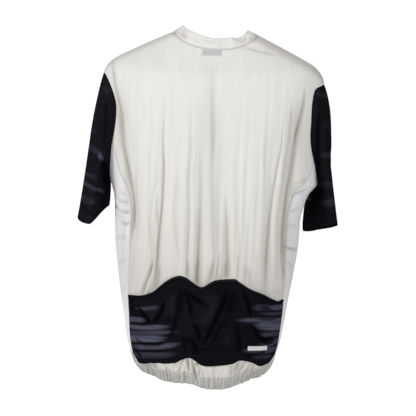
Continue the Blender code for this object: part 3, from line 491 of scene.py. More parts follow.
# The middle (x, z), the size and the thickness of each label.
LABEL_PLACE, LABEL_SIZE, LABEL_WALL = (0.007, -0.0470), (0.041, 0.015), 0.0010
TAB_PLACE, TAB_SIZE, TAB_WALL = (0.1445, -0.5540), (0.008, 0.024), 0.0010
BAR_PLACE, BAR_SIZE, BAR_WALL = (-0.1065, -0.6285), (0.038, 0.0088), 0.0004

# How many steps each piece is built from, and how many points each line is traced with.
BODY_ROWS, SIDE_ROWS, COLLAR_ROWS, HEM_ROWS = 76, 190, 12, 8
ARMHOLE_ROWS, FIRST_ROWS, SHOULDER_ROWS = 26, 6, 26
BACK_COLUMNS, FRONT_COLUMNS, SIDE_COLUMNS = 272, 96, 64
SLEEVE_ROWS, CUFF_ROWS = 66, 12
POCKET_ROWS = 92
ZIP_ROWS, ZIP_COLUMNS = 420, 13
TOOTH_LINE, ZIP_LINE, ARMHOLE_LINE, POCKET_LINE = 700, 500, 400, 90

# The ring angles that a row's columns rest at, and the share of the row that moves with each end.
BACK_REST, BACK_REACH = (math.radians(28), math.radians(152)), 0.25
FRONT_REST, FRONT_REACH = (math.radians(-87), math.radians(-32)), 0.6

# The colours that the materials mix in. The dark cloth's ridge colour is a painted highlight, its crease
# colour painted shade, and the see-through colour a faint painted grey shade.
SEAM_SHADE, BEHIND_SHADE = (0.42, 0.35, 0.31), (0.46, 0.455, 0.49)
DARK_GROUND, DARK_GROUND_PALE = (0.0052, 0.0051, 0.0068), (0.0074, 0.0072, 0.0098)
DARK_STREAK, BAND_INK = (0.015, 0.015, 0.022), (0.098, 0.101, 0.146)
DARK_RIDGE_HIGHLIGHT, DARK_CREASE_SHADE = (0.030, 0.029, 0.038), (0.0022, 0.0020, 0.0032)
DARK_BETWEEN_LOOPS, DARK_SEAM = (0.006, 0.006, 0.009), (0.0010, 0.0009, 0.0014)

# The camera, the lights and the floor. A light is its name, strength, width in degrees and place.
LENS, CAMERA_ROLL = 109.8, 2.5
CAMERA_PLACE, CAMERA_TARGET = (0.0015, 2.6, -0.356), (0.0015, 0.0, -0.356)
LIGHTS = (
    ("key", 1.66, 14.0, (3.1, 2.1, 1.7)),
    ("fill", 0.84, 35.0, (-2.8, 2.2, 0.6)),
    ("front", 1.0, 60.0, (0.8, -3.0, 0.6)),
)
LIGHT_TARGET = (0, 0, -0.35)
FLOOR_REACH, FLOOR_LEVEL = 3.0, -1.45


def table(names, rows):
    """A table's rows as one array for each named column."""
    return {name: np.array([row[i] for row in rows], float) for i, name in enumerate(names)}


SECTION = table(SECTION_COLUMNS, SECTIONS)
SIDE_SEAM = table(SIDE_SEAM_COLUMNS, SIDE_SEAMS)
WAVE = table(EDGE_COLUMNS, TAIL_WAVES)
SLUMP = table(EDGE_COLUMNS, COLLAR_WAVES)
MOUTH = table(EDGE_COLUMNS, POCKET_MOUTH)
BOTTOM = table(EDGE_COLUMNS, POCKET_BOTTOM)
ARMHOLE = {side: dict(zip(ARMHOLE_COLUMNS, row)) for side, row in ARMHOLES.items()}
CUFF = {side: dict(zip(CUFF_COLUMNS, row)) for side, row in CUFFS.items()}


def smooth_between(knots, values, at):
    """Reads a column between its rows, on a curve that never overshoots them."""
    at = np.asarray(at, float)
    steps = np.diff(knots)
    slopes = np.diff(values) / steps
    product = slopes[1:] * slopes[:-1]
    total = slopes[1:] + slopes[:-1]
    bent = np.where(product > 0, 2 * product / np.where(total == 0, 1, total), 0)
    tangents = np.concatenate((slopes[:1], bent, slopes[-1:]))
    i = np.clip(np.searchsorted(knots, at) - 1, 0, len(steps) - 1)
    t = np.clip((at - knots[i]) / steps[i], 0, 1)
    rise = values[i + 1] - values[i]
    start, end = tangents[i] * steps[i], tangents[i + 1] * steps[i]
    return values[i] + t * (start + t * (3 * rise - 2 * start - end + t * (start + end - 2 * rise)))


def section(name, height):
    return smooth_between(SECTION["height"], SECTION[name], height)


def seam_angle(name, height):
    return np.radians(smooth_between(SIDE_SEAM["height"], SIDE_SEAM[name], height))


def edge_level(edge, x):
    return smooth_between(edge["x"], edge["z"], x)


def fade(low, high, value):
    """0 at low and beyond, and 1 at high and beyond, with a smooth change between."""
    t = np.clip((value - low) / (high - low), 0, 1)
    return t * t * (3 - 2 * t)


def unit(vectors):
    return vectors / np.linalg.norm(vectors, axis=-1, keepdims=True)


def fold_relief(folds, x, z):
    """How far the deep folds move the cloth out at (x, z)."""
    relief = np.zeros(np.broadcast(x, z).shape)
    for top_x, top_z, bottom_x, bottom_z, bow, width, depth in folds:
        along = (top_z - z) / (top_z - bottom_z)
        path = top_x + (bottom_x - top_x) * along + 4 * bow * along * (1 - along)
        shown = fade(0, 0.3, along) * fade(0, 0.2, 1 - along)
        relief = relief + depth * shown * np.exp(-(((x - path) / width) ** 2))
    return relief


def strokes(rows, across, up, scale=(1.0, 1.0), squareness=1.4):
    """How strong the strokes of a table are at each place. A row is the points that a stroke runs
    through, its width and its strength. scale turns the points into metres."""
    across, up = np.broadcast_arrays(across * scale[0], up * scale[1])
    total = np.zeros(across.shape)
    for path, width, strength in rows:
        knots = np.array(path) * scale
        marks = np.linspace(0, 1, len(knots))
        fine = np.linspace(0, 1, 2 if len(knots) == 2 else 5 * len(knots))
        line = np.stack([smooth_between(marks, knots[:, k], fine) for k in (0, 1)], axis=1)
        reach = 2.6 * width
        low, high = line.min(0) - reach, line.max(0) + reach
        near = (across > low[0]) & (across < high[0]) & (up > low[1]) & (up < high[1])
        place = np.stack((across[near], up[near]), axis=-1)
        runs = np.diff(line, axis=0)
        lengths = np.linalg.norm(runs, axis=1)
        passed = np.concatenate(((0,), np.cumsum(lengths)))
        away, along = np.full(len(place), np.inf), np.zeros(len(place))
        for k, run in enumerate(runs):
            t = np.clip((place - line[k]) @ run / lengths[k] ** 2, 0, 1)
            distance = np.linalg.norm(place - line[k] - t[:, None] * run, axis=1)
            along = np.where(distance < away, (passed[k] + t * lengths[k]) / passed[-1], along)
            away = np.minimum(away, distance)
        shown = fade(-0.02, 0.30, along) * fade(-0.02, 0.30, 1 - along)
        total[near] += strength * shown * np.exp(-((away / (width * (0.45 + 0.55 * shown))) ** squareness))
    return total


def pleat_relief(x, z):
    """Fine uneven pleats, which grow deeper towards the hem."""
    relief = np.zeros(np.broadcast(x, z).shape)
    for apart, depth, lean, start in PLEATS:
        path = x + lean * z + 0.003 * np.sin(z / 0.08 + start)
        uneven = 0.5 + 0.5 * np.sin(x / 0.031 + z / 0.11 + 3 * start)
        relief = relief + depth * uneven * np.sin(2 * math.pi * path / apart + start)
    return relief * (0.15 + 0.85 * fade(0.09, 0.34, -z)) * fade(0.03, 0.08, -z)


def gather_relief(angle, height):
    """The uneven gathers in the cloth above the elastic hem."""
    drawn = fade(GATHER_START, HEM_TOP, height)
    waves = np.sin(HEM_GATHERS * angle + 2.1 * np.sin(7 * angle) + 1.3 * np.sin(17 * angle))
    slow = 0.6 + 0.4 * np.sin(19 * angle + 1.7 * np.sin(5 * angle))
    return GATHER_DEPTH * drawn * waves * slow


def ring_point(angle, height):
    """A point of the smooth tube, before its folds."""
    angle, height = np.broadcast_arrays(angle, height)
    c, s = np.cos(angle), np.sin(angle)
    width = np.where(c > 0, section("left", height), section("right", height))
    depth = np.where(s > 0, section("back", height), section("front", height))
    drop = np.where(s > 0, section("back_drop", height), section("front_drop", height))
    x = width * np.sign(c) * np.abs(c) ** (2 / SQUARENESS)
    y = depth * np.sign(s) * np.abs(s) ** (2 / SQUARENESS)
    wave = edge_level(WAVE, x) * fade(0, 0.4, s) * fade(0.60, 0.64, -height)
    wave = wave + edge_level(SLUMP, x) * fade(NECK_SEAM, COLLAR_TOP, height)
    z = height - drop * np.abs(s) ** DROP_POWER + wave
    return np.stack((x, y, z), axis=-1)


def normal_of(surface, first, second):
    """The outward normal of a surface function at its two parameters."""
    along_first = surface(first + SLOPE_STEP, second) - surface(first - SLOPE_STEP, second)
    along_second = surface(first, second + SLOPE_STEP) - surface(first, second - SLOPE_STEP)
    return unit(np.cross(along_first, along_second))


def above_pockets(x, z):
    """1 above the pockets' mouth and 0 below it."""
    return fade(-0.001, 0.006, z - edge_level(MOUTH, x))


def body_relief(angle, height, point):
    """The folds, creases and gathers of the body's cloth."""
    x, z = point[..., 0], point[..., 2]
    s = np.sin(angle)
    back = fold_relief(BACK_FOLDS, x, z) + strokes(BACK_CREASES, x, z) * above_pockets(x, z)
    back = (back + strokes(TAIL_CREASES, x, z)) * fade(0.05, 0.35, s)
    front = (fold_relief(FRONT_FOLDS, x, z) + strokes(FRONT_CREASES, x, z)) * fade(0.05, 0.35, -s)
    degrees = (np.degrees(angle) + 90) % 360 - 90
    sides = strokes(SIDE_CREASES, degrees, height, (math.radians(SIDE_RADIUS), 1.0))
    pleats = pleat_relief(x, z) * fade(0.10, 0.50, np.abs(s))
    seams = sum(-SEAM_DIP * np.exp(-(((height - level) / SEAM_WIDTH) ** 2)) for level in (NECK_SEAM, HEM_TOP))
    slack = COLLAR_SLACK * np.sin(7 * angle + 1.3 * np.sin(3 * angle))
    slack = slack * fade(NECK_SEAM, NECK_SEAM + 0.006, height)
    return back + front + sides + pleats + seams + slack + gather_relief(angle, height)


def body_point(angle, height):
    """A point of the body's outer side, folds and all."""
    angle, height = np.broadcast_arrays(angle, height)
    smooth = ring_point(angle, height)
    relief = body_relief(angle, height, smooth)
    return smooth + normal_of(ring_point, angle, height) * relief[..., None]


def body_normal(angle, height):
    return normal_of(body_point, np.asarray(angle, float), np.asarray(height, float))


def on_side(side, angle):
    """The ring angle on the wearer's left or right, of an angle measured from that side's middle."""
    return angle if side == "left" else math.pi - angle


def angle_of_x(x, height, face):
    """The ring angle where the back or front of the tube is x to the left of its middle plane."""
    x = np.asarray(x, float)
    width = np.where(x > 0, section("left", height), section("right", height))
    c = np.sign(x) * np.abs(x / width) ** (SQUARENESS / 2)
    angle = np.arccos(np.clip(c, -1, 1))
    return angle if face == "back" else -angle


def back_place(x, z):
    """Ring angle and height of a place on the back."""
    height = np.array(z, float)
    for _ in range(30):
        angle = angle_of_x(x, height, "back")
        height = height + (z - ring_point(angle, height)[..., 2]) * 0.7
    return angle, height


def round_armhole(side, turn):
    """Angle from the side's middle, and height, on an armhole's curve."""
    hole = ARMHOLE[side]
    c, s = np.cos(turn), np.sin(turn)
    widest = np.where(s >= 0, hole["back"], hole["front"])
    bend = np.where(s >= 0, 1 - (1 - hole["round_top"]) * fade(0, 0.3, c), 1)
    angle = np.radians(widest + hole["taper"] * c) * np.sign(s) * np.abs(s) ** bend
    height = (hole["top"] + hole["bottom"]) / 2 + (hole["top"] - hole["bottom"]) / 2 * c
    return angle, height


def armhole(side, turn):
    """Angle from the side's middle, and height, of a point of an armhole. Near the shoulder's top the
    seam runs nearly straight to its first turn, and meets the curve there without a corner."""
    turn = (np.asarray(turn, float) + math.pi) % (2 * math.pi) - math.pi
    angle, height = round_armhole(side, turn)
    for sign, first in ((1, math.radians(ARMHOLE[side]["first"])), (-1, math.radians(FRONT_FIRST))):
        near = (turn * sign >= 0) & (turn * sign < first)
        t = np.clip(turn * sign / first, 0, 1)
        places = 0.0, sign * first, sign * (first + SLOPE_TURN)
        ends = [round_armhole(side, np.array(place)) for place in places]
        curves = []
        for start, stop, after in zip(*ends):
            rise, slope = stop - start, (after - stop) / SLOPE_TURN * first
            curves.append(start + t * (rise - t * (rise - slope) * (t - 1)))
        angle, height = np.where(near, curves[0], angle), np.where(near, curves[1], height)
    return angle, height


def upper_turns(side, face):
    """Turns from the top of an armhole down to the side panel's tip. Those at the front are negative."""
    hole = ARMHOLE[side]
    first = hole["first"] if face == "back" else FRONT_FIRST
    near = np.linspace(0, first, FIRST_ROWS + 1)[:-1]
    turns = np.radians(np.concatenate((near, np.linspace(first, hole[face + "_tip"], ARMHOLE_ROWS))))
    return turns if face == "back" else -turns


def lower_turns(side):
    """Turns along the foot of an armhole, from the front tip of the side panel to its back tip."""
    hole = ARMHOLE[side]
    return np.radians(np.linspace(360 - hole["front_tip"], hole["back_tip"], SIDE_COLUMNS + 1))


def panel_rows(side, face):
    """Angle from the side's middle, and height, of each row's end of a back or front panel."""
    hole_angle, hole = armhole(side, upper_turns(side, face)[::-1])
    hole_angle = np.abs(hole_angle)
    body = np.linspace(HEM_TOP, hole[0], BODY_ROWS + 1)[:-1]
    joined = fade(hole[0] - 0.07, hole[0], body)
    seam = seam_angle(f"{side}_{face}", body) * (1 - joined) + hole_angle[0] * joined
    shoulder = np.linspace(hole[-1], NECK_SEAM, SHOULDER_ROWS + 1)[1:]
    angles = np.concatenate((seam, hole_angle, np.zeros(SHOULDER_ROWS)))
    return angles, np.concatenate((body, hole, shoulder))


def held_columns(first, last, rest, count, reach):
    """Ring angles of a row's columns. They stand at angles spread over rest, and only those within reach
    of an end, as a share of the row, move with it."""
    share = np.linspace(0, 1, count + 1)
    near_first, near_last = np.clip(1 - share / reach, 0, 1), np.clip(1 - (1 - share) / reach, 0, 1)
    spread = rest[0] + (rest[1] - rest[0]) * share
    return spread + (first - rest[0]) * near_first + (last - rest[1]) * near_last


def back_columns(left, right):
    return held_columns(left, right, BACK_REST, BACK_COLUMNS, BACK_REACH)


def front_columns(side, inner, outer):
    if side == "left":
        return held_columns(inner, outer, FRONT_REST, FRONT_COLUMNS, FRONT_REACH)
    mirrored = (-math.pi - FRONT_REST[1], -math.pi - FRONT_REST[0])
    return held_columns(outer, inner, mirrored, FRONT_COLUMNS, FRONT_REACH)


def zip_edge(side, height):
    """The ring angle where the zip meets the cloth."""
    x = (ZIP_HALF_WIDTH + SEAM_GAP / 2) * (1 if side == "left" else -1)
    return angle_of_x(x, height, "front")


def back_grid():
    left, left_height = panel_rows("left", "back")
    right, right_height = panel_rows("right", "back")
    angle = back_columns(left[:, None], math.pi - right[:, None])
    share = np.linspace(0, 1, BACK_COLUMNS + 1)
    return angle, left_height[:, None] + (right_height - left_height)[:, None] * share


def front_grid(side):
    angles, heights = panel_rows(side, "front")
    inner = zip_edge(side, heights)
    outer = -angles if side == "left" else angles - math.pi
    angle = front_columns(side, inner[:, None], outer[:, None])
    return angle, np.broadcast_to(heights[:, None], angle.shape)


def side_grid(side):
    """The side panel hangs from the foot of the armhole, between its two tips."""
    top_angle, top_height = armhole(side, lower_turns(side))
    up = np.linspace(0, 1, SIDE_ROWS + 1)
    front, back = (
        np.interp(up, np.linspace(0, 1, BODY_ROWS + 1), panel_rows(side, face)[0][: BODY_ROWS + 1])
        for face in ("front", "back")
    )
    front, up = -front, up[:, None]
    at_top = (top_angle - front[-1]) / (back[-1] - front[-1])
    even = np.linspace(0, 1, SIDE_COLUMNS + 1)
    share = even + (at_top - even) * up**2
    angle = front[:, None] + (back - front)[:, None] * share
    height = HEM_TOP + (top_height - HEM_TOP) * up
    if side == "right":
        return math.pi - angle[:, ::-1], height[:, ::-1]
    return angle, height


def round_the_body(height, seams):
    """Ring angles at one height, from the zip's left edge round the back to its right edge."""
    left_front, left_back, right_front, right_back = (
        seam_angle(f"{side}_{face}", height) if seams else 0.0
        for side in ("left", "right")
        for face in ("front", "back")
    )
    panels = [front_columns("left", zip_edge("left", height), -left_front)]
    if seams:
        panels.append(np.linspace(-left_front, left_back, SIDE_COLUMNS + 1))
    panels.append(back_columns(left_back, math.pi - right_back))
    if seams:
        panels.append(math.pi + np.linspace(-right_back, right_front, SIDE_COLUMNS + 1))
    panels.append(front_columns("right", zip_edge("right", height), right_front - math.pi) + 2 * math.pi)
    return np.concatenate([panels[0][:1]] + [panel[1:] for panel in panels])


def border_of(rows, columns):
    """Grid places round a panel's edge, in order and counter-clockwise from outside."""
    bottom = [(0, j) for j in range(columns)]
    last = [(i, columns - 1) for i in range(1, rows)]
    top = [(rows - 1, j) for j in range(columns - 2, -1, -1)]
    first = [(i, 0) for i in range(rows - 2, 0, -1)]
    return bottom + last + top + first


def draw_in_border(points, normals, gap):
    """Moves a panel's edge in along the cloth, so that it stays clear of its neighbour."""
    rows, columns = np.array(border_of(*points.shape[:2])).T
    edge, normal = points[rows, columns], normals[rows, columns]
    after = unit(np.cross(normal, np.roll(edge, -1, axis=0) - edge))
    before = unit(np.cross(normal, edge - np.roll(edge, 1, axis=0)))
    spread = 1 + (before * after).sum(-1, keepdims=True)
    moved = points.copy()
    moved[rows, columns] = edge + (before + after) / np.maximum(spread, 0.15) * gap
    return moved


# Shader node groups and materials


def put(tree, kind, inputs=None, **settings):
    """A new node in a tree, with its settings, and with its inputs linked or given plain values."""
    node = tree.nodes.new(kind)
    for name, value in settings.items():
        setattr(node, name, value)
    for socket, value in (inputs or {}).items():
        feed(tree, node.inputs[socket], value)
    return node


def feed(tree, socket, value):
    """Links a socket to another node's output, or gives it a plain value."""
    if isinstance(value, bpy.types.NodeSocket):
        tree.links.new(value, socket)
    else:
        socket.default_value = value


def calc(tree, operation, *values):
    return put(tree, "ShaderNodeMath", dict(enumerate(values)), operation=operation).outputs[0]


def times(tree, first, second):
    return calc(tree, "MULTIPLY", first, second)


def blend(tree, share, first, second):
    """A mix of two colours."""
    first, second = ((*colour, 1) if isinstance(colour, tuple) else colour for colour in (first, second))
    inputs = {"Factor": share, "A": first, "B": second}
    return put(tree, "ShaderNodeMix", inputs, data_type="RGBA").outputs["Result"]


def remap(tree, value, low, high, out_low=0.0, out_high=1.0):
    inputs = {"Value": value, "From Min": low, "From Max": high, "To Min": out_low, "To Max": out_high}
    return put(tree, "ShaderNodeMapRange", inputs, interpolation_type="SMOOTHSTEP").outputs["Result"]


def noise(tree, place, scale, detail=2.0):
    return put(tree, "ShaderNodeTexNoise", {"Vector": place, "Scale": scale, "Detail": detail}).outputs["Fac"]


def new_group(name, kind, inputs, outputs):
    """An empty node group with named sockets, each of its own kind, and its two end nodes."""
    group = bpy.data.node_groups.new(name, kind)
    for in_out, sockets in (("INPUT", inputs), ("OUTPUT", outputs)):
        for socket, of_kind in sockets.items():
            group.interface.new_socket(socket, in_out=in_out, socket_type="NodeSocket" + of_kind)
    return group, put(group, "NodeGroupInput"), put(group, "NodeGroupOutput")


def make_knit_group():
    """Columns of V-shaped loops, on a place measured in metres along the cloth."""
    inputs = {"Place": "Vector", "Column": "Float", "Row": "Float"}
    group, given, result = new_group("knit loops", "ShaderNodeTree", inputs, {"Height": "Float"})
    split = put(group, "ShaderNodeSeparateXYZ", {0: given.outputs["Place"]}).outputs
    column = calc(group, "FRACT", calc(group, "DIVIDE", split["X"], given.outputs["Column"]))
    leg = times(group, calc(group, "ABSOLUTE", calc(group, "SUBTRACT", column, 0.5)), 2.0)
    row = calc(group, "DIVIDE", split["Y"], given.outputs["Row"])
    strand = calc(group, "FRACT", calc(group, "ADD", row, times(group, leg, 0.8)))
    humps = [calc(group, "SINE", times(group, part, math.pi)) for part in (leg, strand)]
    feed(group, result.inputs["Height"], times(group, *humps))
    return group


def make_mottle_group():
    """Slow and fine changes of tone, as washed cloth has."""
    inputs = {"Place": "Vector", "Slow": "Float", "Fine": "Float"}
    group, given, result = new_group("mottle", "ShaderNodeTree", inputs, {"Tone": "Float"})
    scales = (("Slow", 3.0, 0.65), ("Fine", 2.0, 0.35))
    parts = [
        times(group, noise(group, given.outputs["Place"], given.outputs[scale], detail), share)
        for scale, detail, share in scales
    ]
    feed(group, result.inputs["Tone"], calc(group, "ADD", *parts))
    return group


def mottle(tree, place, slow=9.0, fine=220.0):
    inputs = {"Place": place, "Slow": slow, "Fine": fine}
    return put(tree, "ShaderNodeGroup", inputs, node_tree=MOTTLE).outputs[0]


def knit_loops(tree, column, row):
    inputs = {"Place": on_cloth(tree), "Column": column, "Row": row}
    return put(tree, "ShaderNodeGroup", inputs, node_tree=KNIT).outputs[0]


def new_material(name, roughness, metallic=0.0, specular=0.5, sheen=0.0):
    """A material, its tree and its Principled shader."""
    material = bpy.data.materials.new(name)
    material.use_nodes = True
    shader = material.node_tree.nodes["Principled BSDF"]
    sockets = "Roughness", "Metallic", "Specular IOR Level", "Sheen Weight"
    for socket, value in zip(sockets, (roughness, metallic, specular, sheen)):
        shader.inputs[socket].default_value = value
    return material, material.node_tree, shader


def raise_bump(tree, shader, height, distance, strength=0.5):
    bump = put(tree, "ShaderNodeBump", {"Height": height, "Distance": distance, "Strength": strength})
    feed(tree, shader.inputs["Normal"], bump.outputs["Normal"])


def attribute(tree, name):
    return put(tree, "ShaderNodeAttribute", attribute_name=name).outputs["Fac"]


def on_cloth(tree):
    """The place on the cloth, in metres."""
    return put(tree, "ShaderNodeUVMap", uv_map="cloth").outputs["UV"]


def in_space(tree):
    """The place in the object's space."""
    return put(tree, "ShaderNodeTexCoord").outputs["Object"]


def stretched(tree, scale):
    """The place in the object's space, scaled along each axis."""
    inputs = {"Vector": in_space(tree), "Scale": scale}
    return put(tree, "ShaderNodeMapping", inputs).outputs["Vector"]


KNIT = make_knit_group()
MOTTLE = make_mottle_group()


def pale_cloth(name, colour, shaded, column, row, see_through=False):
    """A pale knit, painted warmer and darker where its shade mark is set: painted shade in its creases and
    on its shaded parts, and a little between its loops. Where it is thin, a faint painted grey shade stands
    for the label and the zip behind it."""
    material, tree, shader = new_material(name, 0.82, specular=0.25, sheen=0.12)
    tone = mottle(tree, stretched(tree, (230.0, 60.0, 9.0)), 0.35, 1.0)
    base = blend(tree, remap(tree, tone, 0.35, 0.65, 0.0, 0.07), colour, shaded)
    # Painted shade: warmer and darker in the creases and on the shaded parts of the body.
    base = blend(tree, times(tree, attribute(tree, "painted_shading"), 0.80), base, shaded)
    base = blend(tree, times(tree, attribute(tree, "edge"), 0.34), base, SEAM_SHADE)
    # A faint painted grey shade for the label and the zip behind the cloth.
    if see_through:
        base = blend(tree, times(tree, attribute(tree, "behind"), 0.75), base, BEHIND_SHADE)
    knit = knit_loops(tree, column, row)
    # A little painted shade between the knit's loops.
    base = blend(tree, remap(tree, knit, 0.0, 0.5, 0.11, 0.0), base, shaded)
    feed(tree, shader.inputs["Base Color"], base)
    raise_bump(tree, shader, knit, 0.00010)
    return material


def dark_cloth(name):
    """The near-black knit of sleeves and pockets, with pale bands made of fine streaks, a painted highlight
    on its ridges and painted shade in its creases.
    """
    material, tree, shader = new_material(name, 0.62, specular=0.0)
    streak = noise(tree, stretched(tree, (16.0, 16.0, 430.0)), 1.0)
    tone = mottle(tree, in_space(tree))
    pale = times(tree, attribute(tree, "band"), remap(tree, streak, 0.30, 0.60, 0.55, 1.0))
    base = blend(tree, remap(tree, tone, 0.4, 0.6), DARK_GROUND, DARK_GROUND_PALE)
    base = blend(tree, remap(tree, streak, 0.5, 0.7, 0.0, 0.30), base, DARK_STREAK)
    base = blend(tree, pale, base, BAND_INK)
    # Painted highlight on the ridges and painted shade in the creases.
    painted_shading = attribute(tree, "painted_shading")
    base = blend(tree, remap(tree, painted_shading, 0.0, -1.0, 0.0, 0.25), base, DARK_RIDGE_HIGHLIGHT)
    base = blend(tree, remap(tree, painted_shading, 0.0, 1.0, 0.0, 0.88), base, DARK_CREASE_SHADE)
    knit = knit_loops(tree, 0.0010, 0.0008)
    base = blend(tree, remap(tree, knit, 0.0, 0.5, 0.35, 0.0), base, DARK_BETWEEN_LOOPS)
    base = blend(tree, times(tree, attribute(tree, "edge"), 0.85), base, DARK_SEAM)
    feed(tree, shader.inputs["Base Color"], base)
    feed(tree, shader.inputs["Roughness"], remap(tree, tone, 0.3, 0.7, 0.56, 0.68))
    raise_bump(tree, shader, knit, 0.00012, 0.6)
    return material


def plain_material(name, colour, other, roughness, metallic=0.0, scale=900.0, bump=0.00005, **finish):
    """A finish with a fine grain, for thread, film and metal."""
    material, tree, shader = new_material(name, roughness, metallic, **finish)
    grain = noise(tree, in_space(tree), scale, 3.0)
    feed(tree, shader.inputs["Base Color"], blend(tree, remap(tree, grain, 0.35, 0.65), colour, other))
    gloss = remap(tree, grain, 0.3, 0.7, max(roughness - 0.06, 0.02), roughness + 0.06)
    feed(tree, shader.inputs["Roughness"], gloss)
    raise_bump(tree, shader, grain, bump)
    return material


def woven_material(name, colour, other, pitch, roughness=0.75, specular=0.3, sheen=0.1):
    """A plain weave of flat threads, for tape, labels and elastic."""
    material, tree, shader = new_material(name, roughness, specular=specular, sheen=sheen)
    split = put(tree, "ShaderNodeSeparateXYZ", {0: on_cloth(tree)}).outputs
    waves = [calc(tree, "SINE", times(tree, split[axis], 2 * math.pi / pitch)) for axis in ("X", "Y")]
    weave = times(tree, *waves)
    tone = mottle(tree, in_space(tree))
    base = blend(tree, remap(tree, weave, -0.6, 0.6), colour, other)
    base = blend(tree, remap(tree, tone, 0.4, 0.6, 0.0, 0.3), base, other)
    feed(tree, shader.inputs["Base Color"], base)
    raise_bump(tree, shader, weave, 0.00008, 0.6)
    return material


WHITE_CLOTH = pale_cloth("white knit", (0.82, 0.81, 0.785), (0.36, 0.320, 0.260), 0.0009, 0.0007, True)
SIDE_CLOTH = pale_cloth("pale side mesh", (0.88, 0.87, 0.88), (0.42, 0.395, 0.40), 0.0013, 0.0011)
DARK_CLOTH = dark_cloth("dark banded knit")
ELASTIC = woven_material("gathered elastic", (0.56, 0.555, 0.53), (0.44, 0.435, 0.41), 0.0012)
ZIP_TAPE = woven_material("woven zip tape", (0.74, 0.74, 0.74), (0.60, 0.60, 0.60), 0.0008)
LABEL_SATIN = woven_material("label satin", (0.60, 0.59, 0.57), (0.50, 0.49, 0.48), 0.0005, 0.45)
TAB_WEAVE = woven_material(
    "tab weave", (0.0060, 0.0058, 0.0072), (0.0035, 0.0035, 0.0045), 0.0007, 0.8, specular=0.02, sheen=0.0
)
PALE_THREAD = plain_material("pale thread", (0.80, 0.79, 0.76), (0.70, 0.69, 0.66), 0.6)
DARK_THREAD = plain_material("dark thread", (0.013, 0.013, 0.018), (0.008, 0.008, 0.011), 0.6, specular=0.15)
TOOTH_RESIN = plain_material("tooth resin", (0.70, 0.70, 0.69), (0.64, 0.64, 0.63), 0.38)
GREY_METAL = plain_material(
    "satin grey metal", (0.36, 0.36, 0.37), (0.28, 0.28, 0.29), 0.34, metallic=1.0, scale=1400.0, bump=0.00002
)
BAR_FILM = plain_material(
    "reflective film", (0.72, 0.74, 0.72), (0.60, 0.62, 0.61), 0.30, metallic=0.25, scale=1600.0, bump=0.00002
)


# Pieces


def run_lengths(points, axis):
    """How far each point lies along its row (axis 1) or column (axis 0), from the middle of the grid."""
    steps = np.linalg.norm(np.diff(points, axis=axis), axis=-1)
    start = np.zeros_like(np.take(steps, [0], axis=axis))
    lengths = np.concatenate((start, np.cumsum(steps, axis=axis)), axis=axis)
    middle = lengths.shape[axis] // 2
    return lengths - np.take(lengths, [middle], axis=axis)


def shell(name, outer, inner, material, slot, closed=False, marks=None):
    """A closed wall of cloth between two grids of points, with its map in metres and its marks.
    closed joins the first and last column."""
    rows, columns = outer.shape[:2]
    count = rows * columns
    spread = np.concatenate((outer, outer[:, :1]), axis=1) if closed else outer
    places = np.stack((run_lengths(spread, 1), run_lengths(spread, 0)), axis=-1)
    i, j = np.meshgrid(np.arange(rows - 1), np.arange(columns if closed else columns - 1), indexing="ij")
    i, j = i.ravel(), j.ravel()
    at_rows, at_columns = np.stack((i, i, i + 1, i + 1), axis=1), np.stack((j, j + 1, j + 1, j), axis=1)
    front = at_rows * columns + at_columns % columns
    faces = [front, count + front[:, ::-1]]
    corners = [(at_rows, at_columns), (at_rows[:, ::-1], at_columns[:, ::-1])]
    if closed:
        first, last = np.arange(columns), (rows - 1) * columns + np.arange(columns)[::-1]
        ring = np.arange(columns + 1)
        loops = [(first, np.zeros_like(ring), ring), (last, np.full_like(ring, rows - 1), ring[::-1])]
    else:
        at = np.array(border_of(rows, columns))
        around = np.concatenate((at, at[:1]))
        loops = [(at[:, 0] * columns + at[:, 1], around[:, 0], around[:, 1])]
    for loop, r, c in loops:
        after = np.roll(loop, -1)
        faces.append(np.stack((after, loop, count + loop, count + after), axis=1))
        corners.append([np.stack((at[1:], at[:-1], at[:-1], at[1:]), axis=1) for at in (r, c)])
    mesh = bpy.data.meshes.new(name)
    points = np.concatenate((outer.reshape(-1, 3), inner.reshape(-1, 3)))
    mesh.from_pydata(points.tolist(), [], np.concatenate(faces).tolist())
    values = np.concatenate([places[r, c].reshape(-1, 2) for r, c in corners])
    mesh.uv_layers.new(name="cloth").data.foreach_set("uv", values.astype(np.float32).ravel())
    u, v = places[:, :columns, 0], places[:, :columns, 1]
    from_edge = np.minimum(v - v[:1], v[-1:] - v)
    if not closed:
        from_edge = np.minimum(from_edge, np.minimum(u - u[:, :1], u[:, -1:] - u))
    for mark, grid in {**(marks or {}), "edge": fade(*EDGE_MARK, from_edge)}.items():
        inside = INSIDE_MARKS.get(mark, 1.0) * grid
        values = np.concatenate((grid.ravel(), inside.ravel())).astype(np.float32)
        mesh.attributes.new(mark, "FLOAT", "POINT").data.foreach_set("value", values)
    mesh.shade_smooth()
    mesh.set_sharp_from_angle(angle=math.radians(50))
    mesh.materials.append(material)
    return add_piece(name, mesh)


def add_piece(name, mesh, body="jersey"):
    made = bpy.data.objects.new(name, mesh)
    bpy.context.scene.collection.objects.link(made)
    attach(made, body)
    return made


def painted_crease_shading(creases, across, up):
    """The painted shading of dark cloth, from -1 for a painted highlight on a ridge to 1 for painted shade
    in a crease.
    """
    shades = [(path, 1.25 * width, -depth / DARK_HOLLOW_DEPTH) for path, width, depth in creases]
    return np.clip(strokes(shades, across, up), -1, 1)


def below_shoulder(x, z):
    """How far a place on the body lies below the shoulder seam over it."""
    levels = np.linspace(NECK_SEAM, -0.10, 40)
    left = np.interp(x, section("left", levels), levels)
    right = np.interp(-x, section("right", levels), levels)
    return np.where(x > 0, left, right) - z


